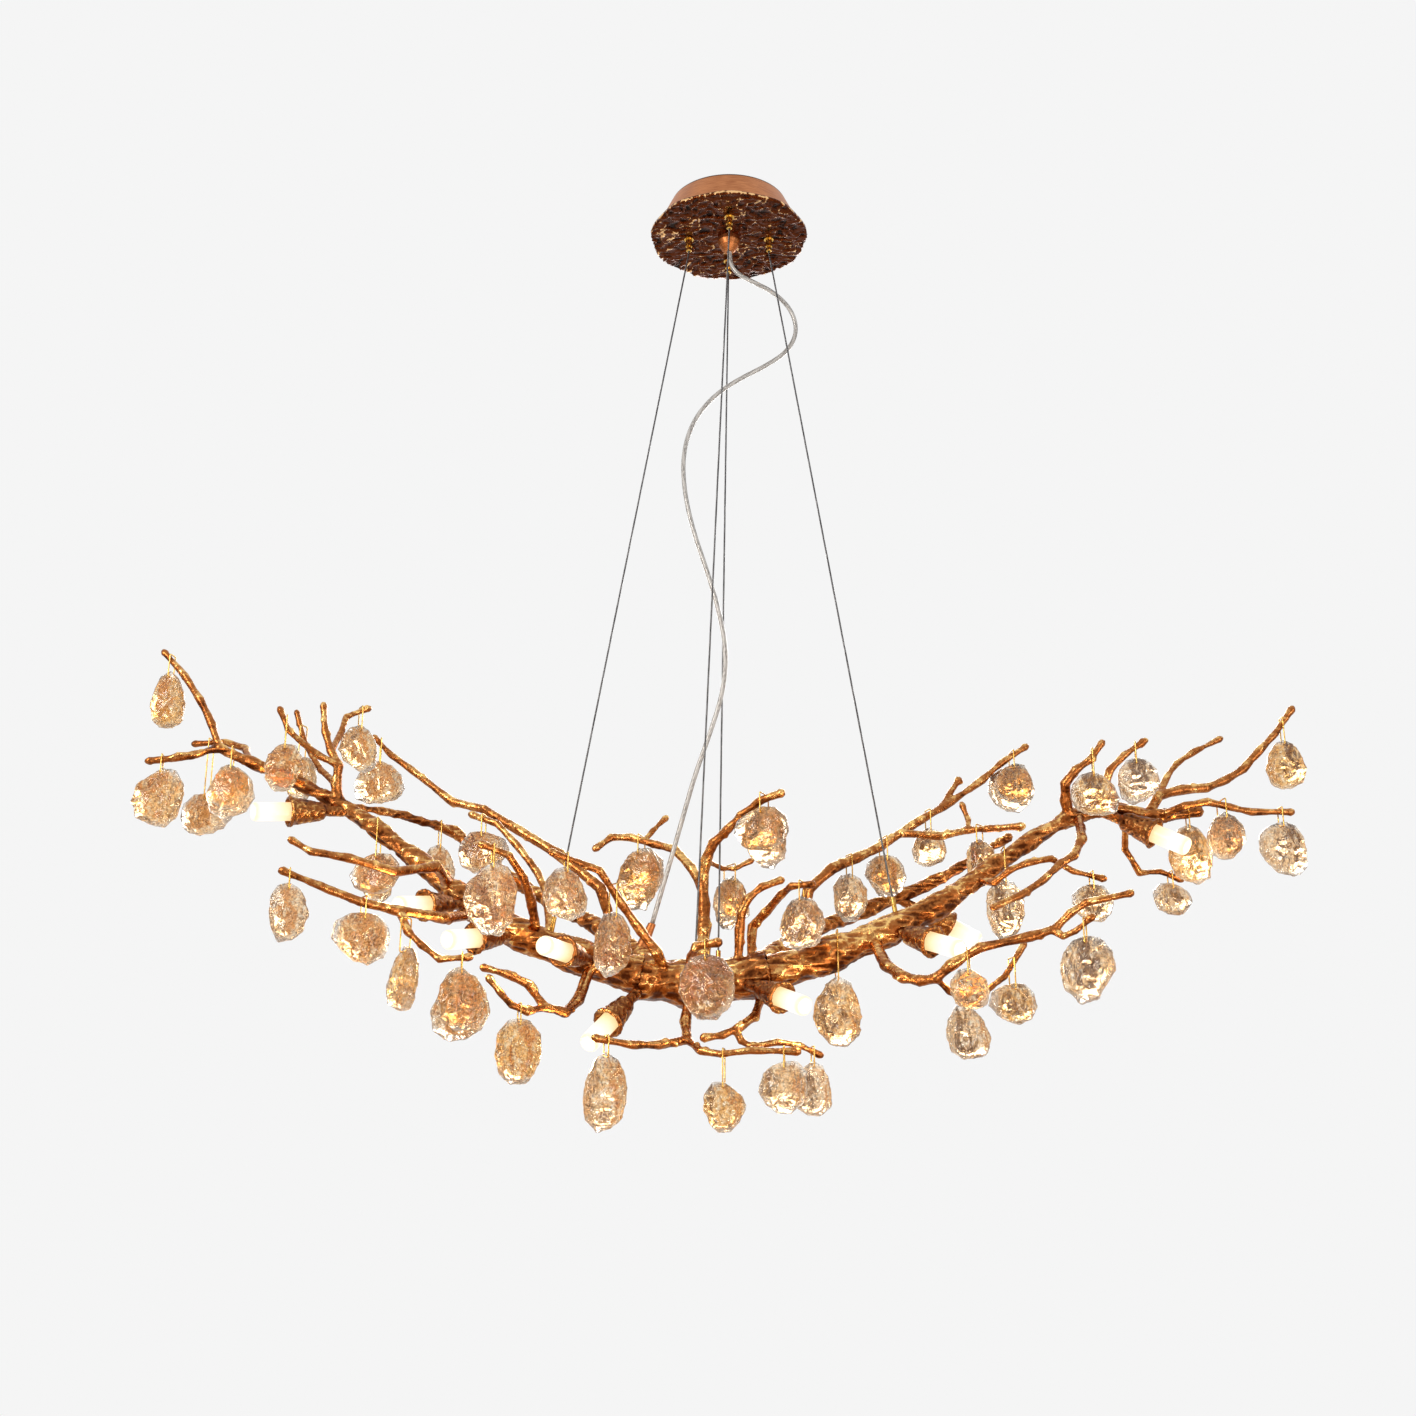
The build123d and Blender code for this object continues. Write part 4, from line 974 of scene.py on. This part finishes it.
# %% Wrinkled drops
AMBER_SHARES = {
    "drop_left_tip": 0.88, "drop_left_top": 1.0, "drop_left_low": 0.61, "drop_left_front": 0.94,
    "drop_left_crown": 0.76, "drop_upper_left": 0.7, "drop_lower_left_tip": 0.58, "drop_lower_left": 0.82,
    "drop_fork_left": 1.0, "drops_fork_pair": 0.88, "drop_lower_fork": 1.0, "drop_large_left": 0.67,
    "drop_front_left": 0.76, "drop_beside_lamp": 0.76, "drop_centre_front": 0.88, "drops_centre_right": 0.82,
    "drop_low_left": 0.7, "drop_low_centre": 1.0, "drop_low_right": 0.7, "drop_under_bough": 0.88,
    "drop_loop_right": 0.58, "drop_lower_right": 0.61, "drop_right_tip": 0.58, "drop_right_top": 1.0,
}
SEATED_AMBER = (0.95, 0.55, 0.8, 0.65, 0.95, 0.5, 0.75)
PAIR_AMBER = 1.4
SOLID_SEED_STEP = 20
SWINGING_SEED = 1000
SWINGING_SEED_STEP = 100
SEATED_SEED = 9000
SEATED_SEED_STEP = 1000


def drop_piece(node, shares, seed):
    vertices, faces, reliefs, rims, ambers = [], [], [], [], []
    body = welded(node)
    for number, solid in enumerate(islands(body)):
        points, skin, relief, rim = wrinkled_solid(solid, seed + SOLID_SEED_STEP * number)
        start = sum(len(block) for block in vertices)
        vertices.append(points)
        faces += [tuple(index + start for index in face) for face in skin]
        reliefs.append(relief)
        rims.append(rim)
        ambers.append(np.full(len(points), shares[number % len(shares)]))
    piece = new_piece(node + "_glass", np.concatenate(vertices), faces, drop_glass)
    store(piece, "relief", np.concatenate(reliefs))
    store(piece, "rim", np.concatenate(rims))
    store(piece, "amber", np.concatenate(ambers))
    body_name = frame["nodes"][node]["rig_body"]
    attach(piece, body_name)
    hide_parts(node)
    return len(vertices), len(faces)


for number, (drop_node, share) in enumerate(AMBER_SHARES.items()):
    drop_piece(drop_node, (share, PAIR_AMBER - share), SWINGING_SEED + SWINGING_SEED_STEP * number)
for number, drop_node in enumerate(("seated_drops_left", "seated_drops_right")):
    counts = drop_piece(drop_node, SEATED_AMBER, SEATED_SEED + SEATED_SEED_STEP * number)
    print(drop_node, counts, "solids and faces")

# %% [markdown]
# ## Room and light
# The light hangs in an empty pale room. A far floor and a plain world make the background, which metal
# and glass see too. Soft panels light it. Glass in an all-white room would lose its edges, so gold and
# dark cards, or flags, that the camera can't see give the glass and metal warm streaks and dark edges.

# %% World
PALE = shade(245, 245, 245)
ROOM_GLOW = 0.45


def pale_room():
    """White to whatever looks at it, and a softer glow to the light."""
    room = Finish("pale_room", bpy.data.worlds)
    glow = room.add("ShaderNodeBackground", None, {"Color": PALE, "Strength": ROOM_GLOW})
    white = room.add("ShaderNodeBackground", None, {"Color": PALE, "Strength": 1.0})
    mixed = room.add("ShaderNodeMixShader", None, {0: room.seen_rays(), 1: glow.out(0), 2: white.out(0)})
    room.close(mixed.out(0), "ShaderNodeOutputWorld")
    return room.material


scene.world = pale_room()
scene.view_settings.view_transform = "Standard"
print("world", scene.world.name)

# %% Panels of light
LIT_POINT = Vector((0.0, 0.0, -0.75))


def panel(name, place, size, watts, colour):
    light = bpy.data.lights.new(name, "AREA")
    light.shape = "RECTANGLE"
    light.size, light.size_y = size
    light.energy = watts
    light.color = colour
    holder = bpy.data.objects.new(name, light)
    holder.location = place
    holder.rotation_euler = (LIT_POINT - Vector(place)).to_track_quat("-Z", "Y").to_euler()
    scene.collection.objects.link(holder)


panel("key_panel", (-1.5, -1.9, -0.1), (0.9, 0.9), 34.0, (1.0, 0.95, 0.88))
panel("fill_panel", (1.9, -1.7, -1.2), (1.1, 1.1), 14.0, (1.0, 0.96, 0.92))
panel("rim_panel", (0.3, 1.9, 0.1), (1.6, 0.6), 22.0, (1.0, 0.97, 0.93))
panel("spark_panel", (0.5, -1.6, -1.7), (0.25, 0.25), 7.0, (1.0, 0.93, 0.82))
print("four panels")


# %% Flags and floor
def flat_card(name, place, size, turn, finish):
    half_x, half_y = size[0] / 2, size[1] / 2
    corners = [(-half_x, -half_y, 0), (half_x, -half_y, 0), (half_x, half_y, 0), (-half_x, half_y, 0)]
    mesh = bpy.data.meshes.new(name)
    mesh.from_pydata(corners, [], [(0, 1, 2, 3)])
    mesh.materials.append(finish)
    card = bpy.data.objects.new(name, mesh)
    card.location = place
    card.rotation_euler = turn
    scene.collection.objects.link(card)
    return card


def warm_flag(name, colour):
    """Even glow of one colour, for glass and metal to mirror."""
    finish = Finish(name)
    finish.close(finish.add("ShaderNodeEmission", None, {"Color": colour}).out(0))
    return finish.material


def pale_floor():
    """White to whatever looks at it, and a plain diffuse floor to the light."""
    finish = Finish("pale_floor")
    matt = finish.add("ShaderNodeBsdfDiffuse", None, {"Color": PALE})
    white = finish.add("ShaderNodeEmission", None, {"Color": PALE, "Strength": 1.0})
    mixed = finish.add("ShaderNodeMixShader", None, {0: finish.seen_rays(), 1: matt.out(0), 2: white.out(0)})
    finish.close(mixed.out(0))
    return finish.material


FLAGS = 8
FLAG_RING = 2.3
FLAG_SIZE = (0.75, 2.2)
FLAG_HEIGHT = -0.8
LOW_FLAG_PLACE = (0.0, -0.4, -2.0)
LOW_FLAG_SIZE = (2.4, 1.4)
FLOOR_HEIGHT = -2.3
FLOOR_SIZE = (40.0, 40.0)

gold_cloth = warm_flag("gold_flag", shade(214, 165, 108))
dark_cloth = warm_flag("dark_flag", shade(92, 54, 26))
flags = [flat_card("low_flag", LOW_FLAG_PLACE, LOW_FLAG_SIZE, (0, 0, 0), gold_cloth)]
for number in range(FLAGS):
    bearing = 2 * math.pi * (number + 0.5) / FLAGS
    place = (FLAG_RING * math.cos(bearing), FLAG_RING * math.sin(bearing), FLAG_HEIGHT)
    turn = (math.pi / 2, 0, bearing + math.pi / 2)
    cloth = (gold_cloth, dark_cloth)[number % 2]
    flags.append(flat_card(f"flag_{number}", place, FLAG_SIZE, turn, cloth))
for card in flags:
    card.visible_camera = False
    card.visible_diffuse = False
    card.visible_shadow = False
flat_card("floor", (0.0, 0.0, FLOOR_HEIGHT), FLOOR_SIZE, (0, 0, 0), pale_floor())
print(len(flags), "flags and a floor")
